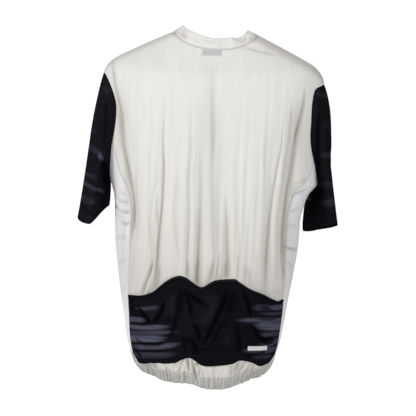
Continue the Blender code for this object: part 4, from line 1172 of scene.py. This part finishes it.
def painted_body_shade(angle, x, z, relief):
    """How much painted shade the body's cloth gets, from 0 to 1: painted shade in its creases, which grows
    towards its side seams and its hem, and along its shoulders.
    """
    back, front, out = np.sin(angle) > 0, np.sin(angle) < 0, np.abs(x)
    deep_folds = fold_relief(BACK_FOLDS, x, z) * back + fold_relief(FRONT_FOLDS, x, z) * front
    # Painted shade towards the side seams, low on the back, above the hem and along the shoulder edges.
    sides = 0.06 * fade(-0.10, -0.18, x) * fade(0.10, 0.20, -z)
    sides = sides + 0.10 * fade(0.07, 0.16, out) * fade(0.10, 0.03, -z)
    low = 0.07 * fade(0.18, 0.40, -z) + 0.30 * np.clip((-z - 0.33) / 0.15, 0, 1) ** 1.3 * fade(0.60, 0.50, -z)
    tail = 0.22 * fade(0.640, 0.658, -z)
    under = below_shoulder(x, z)
    shoulder = 0.60 * np.where(x > 0, fade(0.022, 0.001, under), fade(0.034, 0.005, under))
    shoulder = shoulder * fade(0.068, 0.086, out)
    # Painted shade in the creases, and a little in the deep folds.
    painted_shading = np.clip(-(relief - 0.80 * deep_folds) / HOLLOW_DEPTH, 0, 1)
    return np.clip(painted_shading + (sides + low + tail) * back + shoulder, 0, 1)


def behind_back(x, z):
    """Where the back gets a faint painted grey shade for the label and the zip behind it, from 0 to 1."""
    sides = (x - LABEL_PLACE[0], LABEL_SIZE[0]), (z - LABEL_PLACE[1] - 0.001, LABEL_SIZE[1])
    across, up = (fade(0, 0.004, size / 2 + 0.001 - np.abs(away)) for away, size in sides)
    return np.maximum(across * up, 0.55 * np.clip(strokes(SEEN_THROUGH, x, z), 0, 1))


def body_panel(name, node, grid, material, slot, thickness=WALL, relief=None, held="hung"):
    """A region of the tube, with its folds."""
    angle, height = grid
    points, normals = body_point(angle, height), body_normal(angle, height)
    if relief is not None:
        points = points + normals * relief[..., None]
    smooth = ring_point(angle, height)
    # Painted shade in the creases and towards the sides, hem and shoulders, and a faint painted grey on the
    # back for the label and the zip behind it.
    deep = painted_body_shade(angle, smooth[..., 0], smooth[..., 2], body_relief(angle, height, smooth))
    behind = behind_back(smooth[..., 0], smooth[..., 2]) * (np.sin(angle) > 0)
    outer = draw_in_border(points, normals, SEAM_GAP / 2)
    rows, columns = np.array(border_of(*outer.shape[:2])).T
    outer[rows, columns] -= normals[rows, columns] * PANEL_EDGE_DIP
    marks = {"painted_shading": deep, "behind": behind}
    piece = shell(name, outer, outer - normals * thickness, material, slot, marks=marks)
    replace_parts(piece, node)
    declare(piece, points, held)


def cut_of(points, closed=False):
    """The widest and longest line of a grid of cloth, and its area."""
    spread = np.concatenate((points, points[:, :1]), axis=1) if closed else points
    across = np.linalg.norm(np.diff(spread, axis=1), axis=-1).sum(1)
    along = np.linalg.norm(np.diff(spread, axis=0), axis=-1).sum(0)
    a, b, c, d = spread[:-1, :-1], spread[:-1, 1:], spread[1:, 1:], spread[1:, :-1]
    twice = [np.linalg.norm(np.cross(second - a, third - a), axis=-1) for second, third in ((b, c), (c, d))]
    return float(across.max()), float(along.max()), float((twice[0] + twice[1]).sum() / 2)


def declare(piece, points, held="hung", closed=False, **settings):
    """Works out the cut of a piece of cloth, its width, length and area, and does nothing more with it."""
    width, length, area = cut_of(points, closed)
    area = min(max(area, LEAST_AREA_SHARE * width * length), width * length)


def make_body():
    body_panel("back_cloth", "back_panel", back_grid(), WHITE_CLOTH, "white_cloth")
    for side in ("left", "right"):
        body_panel(f"front_cloth_{side}", f"front_panel_{side}", front_grid(side), WHITE_CLOTH, "white_cloth")
        body_panel(f"side_cloth_{side}", f"side_panel_{side}", side_grid(side), SIDE_CLOTH, "side_cloth")


def make_collar():
    height = np.linspace(NECK_SEAM, COLLAR_TOP, COLLAR_ROWS + 1)
    angle = np.array([round_the_body(h, seams=False) for h in height])
    grid = angle, np.broadcast_to(height[:, None], angle.shape)
    body_panel("collar_cloth", "collar", grid, WHITE_CLOTH, "white_cloth", COLLAR_WALL)


def make_hem_band():
    """The elastic band under the panels, finely ribbed between its own gathers."""
    height = np.linspace(HEM_BOTTOM, HEM_TOP, HEM_ROWS + 1)
    coarse = np.array([round_the_body(h, seams=True) for h in height])
    steps = np.arange(coarse.shape[1] * 2 - 1) / 2
    angle = np.array([np.interp(steps, np.arange(coarse.shape[1]), row) for row in coarse])
    below = ((HEM_TOP - height) / (HEM_TOP - HEM_BOTTOM))[:, None]
    ribs = ELASTIC_DEPTH * np.sin(ELASTIC_RIBS * angle + 2.0 * np.sin(11 * angle)) * fade(0, 0.25, below)
    waves = ELASTIC_WAVE * np.sin(53 * angle + 1.4 * np.sin(9 * angle)) * below
    rolled = -ELASTIC_ROLL * fade(0.75, 1, below)
    grid, relief = (angle, np.broadcast_to(height[:, None], angle.shape)), ribs + waves + rolled
    body_panel("hem_elastic", "hem_band", grid, ELASTIC, "elastic_band", HEM_WALL, relief, "gathered")


def pocket_grid(ups):
    """Ring angle and height of the pockets' rows, at the columns of the back. up is 0 at the bottom
    edge and 1 at the mouth."""
    up = np.asarray(ups, float)[:, None]
    height = np.full((len(ups), BACK_COLUMNS + 1), -0.6)
    for _ in range(60):
        angle = back_columns(seam_angle("left_back", height), math.pi - seam_angle("right_back", height))
        place = ring_point(angle, height)
        low, high = (edge_level(edge, place[..., 0]) for edge in (BOTTOM, MOUTH))
        height = height + (low + (high - low) * up - place[..., 2]) * 0.6
    return angle, height, up


def pocket_gape(x, up):
    """How far the pockets' cloth stands off the back."""
    bulge = np.zeros(np.broadcast(x, up).shape)
    for low, high in zip(POCKET_STOPS, POCKET_STOPS[1:]):
        bulge = bulge + np.sin(math.pi * np.clip((x - low) / (high - low), 0, 1)) ** 2
    return POCKET_GAPE * bulge * np.clip(up, 0, 1) ** POCKET_SLACK


def pocket_surface(angle, height, up, offset):
    """Points of the pockets' outer side, and normals. Their creases never reach the cloth behind."""
    normals = normal_of(ring_point, angle, height)
    points = body_point(angle, height)
    gape = pocket_gape(points[..., 0], up)
    creases = strokes(POCKET_CREASES, points[..., 0], points[..., 2])
    relief = np.maximum(creases * fade(0, 0.12, up) * fade(-0.2, 0.1, 1 - up), -gape * 0.85)
    return points + normals * (gape + relief + offset)[..., None], normals


def make_pocket_strip(name, node, ups, thickness, least_band=0):
    angle, height, up = pocket_grid(ups)
    points, normals = pocket_surface(angle, height, up, SEAM_GAP + thickness)
    outer = draw_in_border(points, normals_of_grid(points), SEAM_GAP / 2)
    x, z = points[..., 0], points[..., 2]
    band = np.clip(strokes(POCKET_BANDS, x, z, squareness=5.0), least_band, 1)
    # Painted highlight on the pockets' ridges and painted shade in their creases.
    marks = {"painted_shading": painted_crease_shading(POCKET_CREASES, x, z), "band": band}
    piece = shell(name, outer, outer - normals * thickness, DARK_CLOTH, "dark_cloth", marks=marks)
    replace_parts(piece, node)
    return piece, points


def make_pockets():
    """The three pockets, which are one panel, and the binding along their mouths."""
    panel = np.linspace(0, 1 - BINDING_SHARE + 0.005, POCKET_ROWS + 1)
    piece, points = make_pocket_strip("pocket_cloth", "pocket_panel", panel, WALL)
    mouth = np.linspace(1 - BINDING_SHARE, 1, 5)
    edge, _ = make_pocket_strip("pocket_edge", "pocket_binding", mouth, BINDING_WALL, BINDING_INK)
    declare(piece, points, rests_on=["back_cloth"], with_pieces=[edge])


def normals_of_grid(points):
    return unit(np.cross(np.gradient(points, axis=1), np.gradient(points, axis=0)))


def patch_grid(place, size, columns, rows):
    """Ring angle and height of a small upright rectangle on the back."""
    x = np.linspace(place[0] + size[0] / 2, place[0] - size[0] / 2, columns + 1)
    z = np.linspace(place[1] - size[1] / 2, place[1] + size[1] / 2, rows + 1)
    return back_place(*np.meshgrid(x, z))


def make_labels():
    """The neck label inside the back, the tab at the edge of the left pocket and the reflective bar on
    the right one."""
    angle, height = patch_grid(LABEL_PLACE, LABEL_SIZE, 40, 14)
    normals = body_normal(angle, height)
    outer = body_point(angle, height) - normals * (WALL + SEAM_GAP)
    piece = shell("neck_label_satin", outer, outer - normals * LABEL_WALL, LABEL_SATIN, "label")
    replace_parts(piece, "neck_label")
    for name, node, place, size, wall, steps, material, slot in (
        ("side_tab", "side_label", TAB_PLACE, TAB_SIZE, TAB_WALL, (10, 26), TAB_WEAVE, "seam_tab"),
        ("reflective_bar", None, BAR_PLACE, BAR_SIZE, BAR_WALL, (40, 8), BAR_FILM, "dark_cloth"),
    ):
        angle, height = patch_grid(place, size, *steps)
        smooth = ring_point(angle, height)
        low, high = (edge_level(edge, smooth[..., 0]) for edge in (BOTTOM, MOUTH))
        up = (smooth[..., 2] - low) / (high - low)
        points, normals = pocket_surface(angle, height, up, SEAM_GAP + WALL + SEAM_GAP + wall)
        piece = shell(name, points, points - normals * wall, material, slot)
        if node:
            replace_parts(piece, node)


def cuff_ring(side, turn):
    """The lower edge of a sleeve, at the same turns as its armhole."""
    cuff = CUFF[side]
    twist = math.radians(cuff["twist"])
    long_way = cuff["half_long"] * np.sin(turn)
    short_way = np.where(np.cos(turn) > 0, cuff["half_out"], cuff["half_in"]) * np.cos(turn)
    out = long_way * math.sin(twist) + short_way * math.cos(twist)
    back = long_way * math.cos(twist) - short_way * math.sin(twist)
    x, sag = cuff["x"] + out, cuff["sag"] * np.clip(-np.cos(turn), 0, 1) ** 2
    z = cuff["z"] - back * math.tan(math.radians(cuff["tilt"])) - sag
    return np.stack((x if side == "left" else -x, cuff["y"] + back, z), axis=-1)


def plain_sleeve_point(side, turn, share):
    """A point of a sleeve without its creases, from its armhole (share 0) to its cuff (share 1)."""
    turn, share = np.broadcast_arrays(turn, share)
    mirror = np.array((1.0 if side == "left" else -1.0, 1.0, 1.0))
    angle, height = armhole(side, turn)
    start, end = body_point(on_side(side, angle), height), cuff_ring(side, turn)
    length = np.linalg.norm(end - start, axis=-1)[..., None] * SLEEVE_PULL
    out, back = CUFF[side]["leave"] + 0.42 * np.sin(turn / 2) ** 2, 0.30 * np.sin(turn)
    leaving = np.stack((out, back, -np.sqrt(1 - out**2 - back**2)), axis=-1) * mirror * length
    lean = math.tan(math.radians(CUFF[side]["tilt"]))
    arriving = unit(np.array((CUFF[side]["arrive"], -0.8 * lean, -1.0)) * mirror) * length
    t = share[..., None]
    far = t * t * (3 - 2 * t)
    return start * (1 - far) + end * far + leaving * t * (1 - t) ** 2 + arriving * t * t * (t - 1)


def sleeve_relief(side, turn, share, points):
    """The creases of a sleeve. The hidden face has the same ones, shallower."""
    across, up = np.abs(points[..., 0]), points[..., 2]
    face = np.where(np.sin(turn) > 0, 1.0, 0.7) * fade(0, 0.25, np.abs(np.sin(turn)))
    return strokes(SLEEVE_CREASES[side], across, up) * face * fade(0, 0.10, share)


def sleeve_turns(side):
    back, front = upper_turns(side, "back"), upper_turns(side, "front")
    return np.concatenate((back, lower_turns(side)[::-1][1:-1], 2 * math.pi + front[:0:-1]))


def tube_normals(side, points):
    """Outward normals of a sleeve's grid of points, whose turns run the other way on the right."""
    wrapped = np.concatenate((points[:, -1:], points, points[:, :1]), axis=1)
    return normals_of_grid(wrapped)[:, 1:-1] * (1 if side == "right" else -1)


def make_sleeve(side):
    """A sleeve and its cuff, which are one tube cut across. Returns the tube's points and normals."""
    cut = 1 - CUFF_BAND
    rows = np.concatenate((np.linspace(0, cut, SLEEVE_ROWS + 1), np.linspace(cut, 1, CUFF_ROWS + 1)[1:]))
    turn, share = np.meshgrid(sleeve_turns(side), rows)
    smooth = plain_sleeve_point(side, turn, share)
    points = smooth + tube_normals(side, smooth) * sleeve_relief(side, turn, share, smooth)[..., None]
    normals = tube_normals(side, points)
    across, up = np.abs(points[..., 0]), points[..., 2]
    bands = np.maximum(strokes(SLEEVE_BANDS_AND_HIGHLIGHTS[side], across, up, squareness=4.0), SLEEVE_WASH[side])
    # Painted highlight on the sleeve's ridges and painted shade in its creases.
    hollows = painted_crease_shading(SLEEVE_CREASES[side], across, up)
    order = slice(None) if side == "left" else slice(None, None, -1)
    for part, low, high, joined in (("sleeve", 0, SLEEVE_ROWS + 1, -1), ("cuff", SLEEVE_ROWS, len(rows), 0)):
        outer, out = points[low:high].copy(), normals[low:high]
        if part == "sleeve":
            outer[0] += unit(outer[1] - outer[0]) * SEAM_GAP * 0.7
        outer[joined] -= out[joined] * SEAM_DIP
        inner = outer - out * WALL
        marks = {"painted_shading": hollows[low:high][::-1, order], "band": bands[low:high][::-1, order]}
        walls = outer[::-1, order], inner[::-1, order]
        piece = shell(f"{part}_cloth_{side}", *walls, DARK_CLOTH, "dark_cloth", closed=True, marks=marks)
        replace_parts(piece, f"{part}_{side}")
        declare(piece, outer, closed=True)
    return points, normals


# Stitches and zip teeth, set along their lines by Geometry Nodes


def new_line_tree(name, sizes):
    """An empty geometry tree, which takes lines, a pitch along them, the sizes named and a material."""
    inputs = {"Geometry": "Geometry", **dict.fromkeys(("Pitch", *sizes), "Float"), "Material": "Material"}
    return new_group(name, "GeometryNodeTree", inputs, {"Geometry": "Geometry"})


def place_along(tree, given, result, shape, sizes, axis, pivot):
    """Sets a shape along the lines given, scaled to the sizes named and turned to run with them."""
    size = put(tree, "ShaderNodeCombineXYZ", {at: given.outputs[name] for at, name in zip("XYZ", sizes)})
    sized = put(tree, "GeometryNodeTransform", {"Geometry": shape, "Scale": size.outputs[0]})
    curve = put(tree, "GeometryNodeMeshToCurve", {"Mesh": given.outputs["Geometry"]})
    inputs = {"Curve": curve.outputs["Curve"], "Length": given.outputs["Pitch"]}
    spaced = put(tree, "GeometryNodeResampleCurve", inputs, mode="LENGTH")
    inputs = {"Vector": put(tree, "GeometryNodeInputTangent").outputs[0]}
    turned = put(tree, "FunctionNodeAlignRotationToVector", inputs, axis=axis, pivot_axis=pivot)
    inputs = {"Instance": sized.outputs["Geometry"], "Rotation": turned.outputs["Rotation"]}
    placed = put(tree, "GeometryNodeInstanceOnPoints", {"Points": spaced.outputs["Curve"], **inputs})
    real = put(tree, "GeometryNodeRealizeInstances", {"Geometry": placed.outputs["Instances"]})
    smooth = put(tree, "GeometryNodeSetShadeSmooth", {"Geometry": real.outputs["Geometry"]})
    inputs = {"Geometry": smooth.outputs["Geometry"], "Material": given.outputs["Material"]}
    coloured = put(tree, "GeometryNodeSetMaterial", inputs)
    feed(tree, result.inputs["Geometry"], coloured.outputs["Geometry"])
    return tree


def make_stitch_tree():
    tree, given, result = new_line_tree("stitch rows", ("Length", "Thickness"))
    ball = put(tree, "GeometryNodeMeshIcoSphere", {"Radius": 0.5, "Subdivisions": 1}).outputs["Mesh"]
    return place_along(tree, given, result, ball, ("Length", "Thickness", "Thickness"), "X", "AUTO")


def make_tooth_tree():
    """Zip teeth along a line in a plane of constant x. Each is a short bar across it."""
    tree, given, result = new_line_tree("zip teeth", ("Width", "Height", "Rise"))
    bar = put(tree, "GeometryNodeMeshCylinder", {"Vertices": 8, "Radius": 0.5, "Depth": 1.0}).outputs["Mesh"]
    laid = put(tree, "GeometryNodeTransform", {"Geometry": bar, "Rotation": (0, math.pi / 2, 0)})
    return place_along(tree, given, result, laid.outputs["Geometry"], ("Width", "Rise", "Height"), "Z", "X")


def along_lines(name, routes, tree, values):
    """A plain mesh of what a tree sets along some lines."""
    mesh = bpy.data.meshes.new(name)
    points, edges = [], []
    for route in routes:
        edges += [(len(points) + k, len(points) + k + 1) for k in range(len(route) - 1)]
        points += [tuple(p) for p in route]
    mesh.from_pydata(points, edges, [])
    carrier = bpy.data.objects.new(name, mesh)
    bpy.context.scene.collection.objects.link(carrier)
    modifier = carrier.modifiers.new(tree.name, "NODES")
    modifier.node_group = tree
    for item in tree.interface.items_tree:
        if item.in_out == "INPUT" and item.name in values:
            modifier[item.identifier] = values[item.name]
    evaluated = carrier.evaluated_get(bpy.context.evaluated_depsgraph_get())
    made = bpy.data.meshes.new_from_object(evaluated)
    made.name = name
    bpy.data.objects.remove(carrier)
    return add_piece(name, made)


def beside(points, normals, shift, lift=0.0002):
    """A line moved along the cloth, to its left, and a little out."""
    tangents = unit(np.gradient(points, axis=0))
    return points + np.cross(normals, tangents) * shift + normals * lift


def body_line(angle, height):
    angle, height = np.broadcast_arrays(np.asarray(angle, float), np.asarray(height, float))
    return body_point(angle, height), body_normal(angle, height)


def twin(points, normals, shift):
    return [beside(points, normals, shift), beside(points, normals, -shift)]


def make_stitches(sleeves):
    tree = make_stitch_tree()
    pale, dark = [], []
    last = BODY_ROWS + 1
    for side, sign in (("left", 1), ("right", -1)):
        for face in ("back", "front"):
            angles, heights = panel_rows(side, face)
            angle = on_side(side, angles[:last] if face == "back" else -angles[:last])
            pale += twin(*body_line(angle, heights[:last]), BESIDE["panel"])
        heights = np.linspace(*ZIP_ENDS, ZIP_LINE)
        pale.append(beside(*body_line(zip_edge(side, heights), heights), -BESIDE["zip"] * sign))
        angle, height = armhole(side, np.linspace(0.0, 2 * math.pi, ARMHOLE_LINE))
        pale.append(beside(*body_line(on_side(side, angle), height), BESIDE["armhole"] * sign))
        loop, out = (np.concatenate((grid[SLEEVE_ROWS], grid[SLEEVE_ROWS][:1])) for grid in sleeves[side])
        dark += twin(loop, out, BESIDE["cuff"])
    pale += twin(*body_line(round_the_body(NECK_SEAM, seams=False), NECK_SEAM), BESIDE["neck"])
    pale.append(beside(*body_line(round_the_body(COLLAR_TOP, seams=False), COLLAR_TOP), -BESIDE["top"]))
    pale += twin(*body_line(round_the_body(HEM_TOP, seams=True), HEM_TOP), BESIDE["hem"])
    for x in POCKET_STOPS[1:3]:
        up = np.linspace(0.03, 0.94, POCKET_LINE)
        low, high = (float(edge_level(edge, x)) for edge in (BOTTOM, MOUTH))
        angle, height = back_place(np.full(up.shape, x), low + (high - low) * up)
        points, normals = pocket_surface(angle, height, up, SEAM_GAP + WALL)
        dark += twin(points, normals, BESIDE["pocket"])
    for up in (0.02, 1 - BINDING_SHARE - 0.012):
        angle, height, share = pocket_grid((up,))
        points, normals = pocket_surface(angle, height, share, SEAM_GAP + WALL)
        dark.append(beside(points[0][2:-2], normals[0][2:-2], 0.0))
    along_lines("pale_stitches", pale, tree, {**STITCH, "Material": PALE_THREAD})
    along_lines("dark_stitches", dark, tree, {**STITCH, "Material": DARK_THREAD})


def make_zip():
    """The two tapes as one strip, and the teeth that close it."""
    height = np.linspace(HEM_BOTTOM, COLLAR_TOP, ZIP_ROWS)[:, None]
    x = np.linspace(-ZIP_HALF_WIDTH, ZIP_HALF_WIDTH, ZIP_COLUMNS)
    angle = angle_of_x(np.broadcast_to(x, (len(height), len(x))), height, "front")
    angle = np.where(angle > 0, angle - 2 * math.pi, angle)
    outer, normals = body_line(angle, height)
    piece = shell("zip_tapes", outer, outer - normals * ZIP_WALL, ZIP_TAPE, "zip_tape")
    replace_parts(piece, "zip_tape")
    declare(piece, outer)
    heights = np.linspace(*ZIP_ENDS, TOOTH_LINE)
    points, normals = body_line(np.full(heights.shape, -math.pi / 2), heights)
    rows = []
    for side, start in ((-1, 0), (1, TOOTH["Pitch"] / 2)):
        row = points + normals * TOOTH_STAND_OFF
        row[:, 0] += side * TOOTH_OFFSET
        lengths = np.concatenate(((0,), np.cumsum(np.linalg.norm(np.diff(row, axis=0), axis=1))))
        at = np.arange(start, lengths[-1], TOOTH["Pitch"])
        rows.append(np.stack([np.interp(at, lengths, row[:, k]) for k in range(3)], axis=1))
    along_lines("zip_teeth", rows, make_tooth_tree(), {**TOOTH, "Material": TOOTH_RESIN})


# The slider and the pull


def metal_mesh(name, work):
    """The mesh that bmesh has made, in metal."""
    mesh = bpy.data.meshes.new(name)
    work.to_mesh(mesh)
    work.free()
    mesh.shade_smooth()
    mesh.set_sharp_from_angle(angle=math.radians(40))
    mesh.materials.append(GREY_METAL)
    return mesh


def round_rims(work, radius, segments):
    """Rounds the edges where two faces meet at over 60 degrees."""
    rims = [e for e in work.edges if len(e.link_faces) == 2 and e.calc_face_angle() > math.radians(60)]
    settings = {"profile": 0.5, "affect": "EDGES", "clamp_overlap": True}
    bmesh.ops.bevel(work, geom=rims, offset=radius, segments=segments, **settings)


def plate(name, outline, low, high, bevel, holes=()):
    """A plate cut to an outline in (x, z), between two levels of y, with rounded edges."""
    work = bmesh.new()
    edges = []
    for loop in (outline, *holes):
        corners = [work.verts.new((x, low, z)) for x, z in loop]
        edges += [work.edges.new((corners[k], corners[(k + 1) % len(corners)])) for k in range(len(corners))]
    bmesh.ops.triangle_fill(work, use_beauty=True, edges=edges)
    bmesh.ops.recalc_face_normals(work, faces=work.faces)
    moved = bmesh.ops.extrude_face_region(work, geom=work.faces[:])["geom"]
    moved = [part for part in moved if isinstance(part, bmesh.types.BMVert)]
    bmesh.ops.translate(work, verts=moved, vec=(0, high - low, 0))
    bmesh.ops.recalc_face_normals(work, faces=work.faces)
    bmesh.ops.dissolve_limit(work, angle_limit=math.radians(1), verts=work.verts, edges=work.edges)
    round_rims(work, bevel, 3)
    return metal_mesh(name, work)


def rounded(half_width, low, high, radius, steps=6):
    """The outline of an upright rectangle with round corners."""
    loop = []
    for cx, cz, start in (
        (half_width - radius, high - radius, 0),
        (radius - half_width, high - radius, 90),
        (radius - half_width, low + radius, 180),
        (half_width - radius, low + radius, 270),
    ):
        for k in range(steps + 1):
            a = math.radians(start + 90 * k / steps)
            loop.append((cx + radius * math.cos(a), cz + radius * math.sin(a)))
    return loop


def tube_along_x(name, outer, inner, width, sides=32):
    """A ring about X, or a rod where inner is 0."""
    work = bmesh.new()
    profile = [(-width / 2, outer), (width / 2, outer)]
    if inner:
        profile += [(width / 2, inner), (-width / 2, inner)]
    turns = [2 * math.pi * k / sides for k in range(sides)]
    rings = [[work.verts.new((x, r * math.cos(a), r * math.sin(a))) for a in turns] for x, r in profile]
    pairs = list(zip(rings, rings[1:] + rings[:1])) if inner else [(rings[0], rings[1])]
    for first, second in pairs:
        for k in range(sides):
            work.faces.new((first[k], first[(k + 1) % sides], second[(k + 1) % sides], second[k]))
    if not inner:
        work.faces.new(rings[0])
        work.faces.new(rings[1])
    bmesh.ops.recalc_face_normals(work, faces=work.faces)
    round_rims(work, 0.00012, 2)
    return metal_mesh(name, work)


def merge_at(name, meshes, place, body):
    """One metal piece from several meshes, moved to its place."""
    work = bmesh.new()
    for mesh in meshes:
        work.from_mesh(mesh)
    bmesh.ops.translate(work, verts=work.verts, vec=place)
    return add_piece(name, metal_mesh(name, work), body)


def make_slider_and_pull():
    low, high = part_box("zip_slider")
    pin = Vector((0, high[1] - SLIDER_DEPTH - PIN_STAND_OFF, (low[2] + high[2]) / 2))
    half, waist = SLIDER_HEIGHT / 2, SLIDER_WIDTH / 2
    right = [(-0.72 * waist, half), (-waist, 0.55 * half), (-waist, 0), (-0.62 * waist, -half)]
    shield = [(-right[0][0], half), *right, *[(-x, z) for x, z in right[:0:-1]]]
    body = plate("slider_body", shield, 0, SLIDER_DEPTH, 0.0006)
    for vertex in body.vertices:
        vertex.co.y += PIN_STAND_OFF
    cheeks = []
    for side in (-1, 1):
        middle = side * (CHEEK_INSIDE + CHEEK_OUTSIDE) / 2
        flat = rounded((CHEEK_OUTSIDE - CHEEK_INSIDE) / 2, -CHEEK_HEIGHT / 2, CHEEK_HEIGHT / 2, 0.0004, 3)
        outline = [(x + middle, z) for x, z in flat]
        levels = -CHEEK_HEIGHT / 2, PIN_STAND_OFF + PIN_RADIUS
        cheeks.append(plate(f"slider_cheek_{side}", outline, *levels, 0.00025))
    rod = tube_along_x("slider_pin", PIN_RADIUS, 0, 2 * CHEEK_INSIDE + PIN_RADIUS)
    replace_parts(merge_at("slider_metal", [body, *cheeks, rod], pin, "jersey"), "zip_slider")

    eye = tube_along_x("pull_eye", EYE_RADIUS, EYE_BORE, EYE_WIDTH)
    half = PULL_THICKNESS / 2
    neck_shape = rounded(EYE_WIDTH / 2, -PULL_NECK - 0.001, -EYE_BORE - PIN_RADIUS / 2, 0.0002, 2)
    neck = plate("pull_neck", neck_shape, -half, half, 0.0002)
    window = rounded(0.0011, -PULL_LENGTH + 0.0040, -PULL_LENGTH + 0.0110, 0.0010)
    tab_shape = rounded(PULL_WIDTH / 2, -PULL_LENGTH, -PULL_NECK + half, 0.0016)
    tab = plate("pull_tab", tab_shape, -half * 1.1, half * 1.1, 0.0003, [window])
    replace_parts(merge_at("pull_metal", [eye, neck, tab], pin, "pull"), "zip_pull")


# Camera, light and floor


def aim(obj, target, roll=0.0):
    facing = (Vector(target) - obj.location).to_track_quat("-Z", "Y").to_matrix().to_4x4()
    obj.rotation_euler = (facing @ Matrix.Rotation(math.radians(roll), 4, "Z")).to_euler()


def show(obj):
    bpy.context.scene.collection.objects.link(obj)
    return obj


def make_stage():
    camera = show(bpy.data.objects.new("camera", bpy.data.cameras.new("camera")))
    camera.data.lens, camera.data.sensor_width = LENS, 36.0
    camera.data.clip_end = 60
    camera.location = CAMERA_PLACE
    aim(camera, CAMERA_TARGET, CAMERA_ROLL)
    bpy.context.scene.camera = camera

    for name, strength, width, place in LIGHTS:
        light = show(bpy.data.objects.new(name, bpy.data.lights.new(name, "SUN")))
        light.data.energy, light.data.angle = strength, math.radians(width)
        light.location = place
        aim(light, LIGHT_TARGET)

    mesh = bpy.data.meshes.new("floor")
    square = (-1, -1), (1, -1), (1, 1), (-1, 1)
    mesh.from_pydata([(x * FLOOR_REACH, y * FLOOR_REACH, FLOOR_LEVEL) for x, y in square], [], [(0, 1, 2, 3)])
    material, _, shader = new_material("pale floor", 0.9, specular=0.0)
    shader.inputs["Base Color"].default_value = (0.93, 0.93, 0.93, 1)
    mesh.materials.append(material)
    show(bpy.data.objects.new("floor", mesh))

    world = bpy.data.worlds.new("studio")
    world.use_nodes = True
    bpy.context.scene.world = world
    tree = world.node_tree
    sky = tree.nodes["Background"].inputs
    generated = put(tree, "ShaderNodeTexCoord").outputs["Generated"]
    ahead = put(tree, "ShaderNodeSeparateXYZ", {0: generated}).outputs["Y"]
    glow = calc(tree, "ADD", times(tree, times(tree, ahead, ahead), 0.85), 0.12)
    seen = put(tree, "ShaderNodeLightPath").outputs["Is Camera Ray"]
    feed(tree, sky["Strength"], calc(tree, "MAXIMUM", glow, times(tree, seen, 1.05)))
    sky["Color"].default_value = (1, 1, 1, 1)
    bpy.context.scene.view_settings.view_transform = "Standard"
    bpy.context.scene.view_settings.look = "None"


def main():
    make_body()
    make_collar()
    make_hem_band()
    make_pockets()
    make_labels()
    sleeves = {side: make_sleeve(side) for side in ("left", "right")}
    make_zip()
    make_stitches(sleeves)
    make_slider_and_pull()
    make_stage()


main()
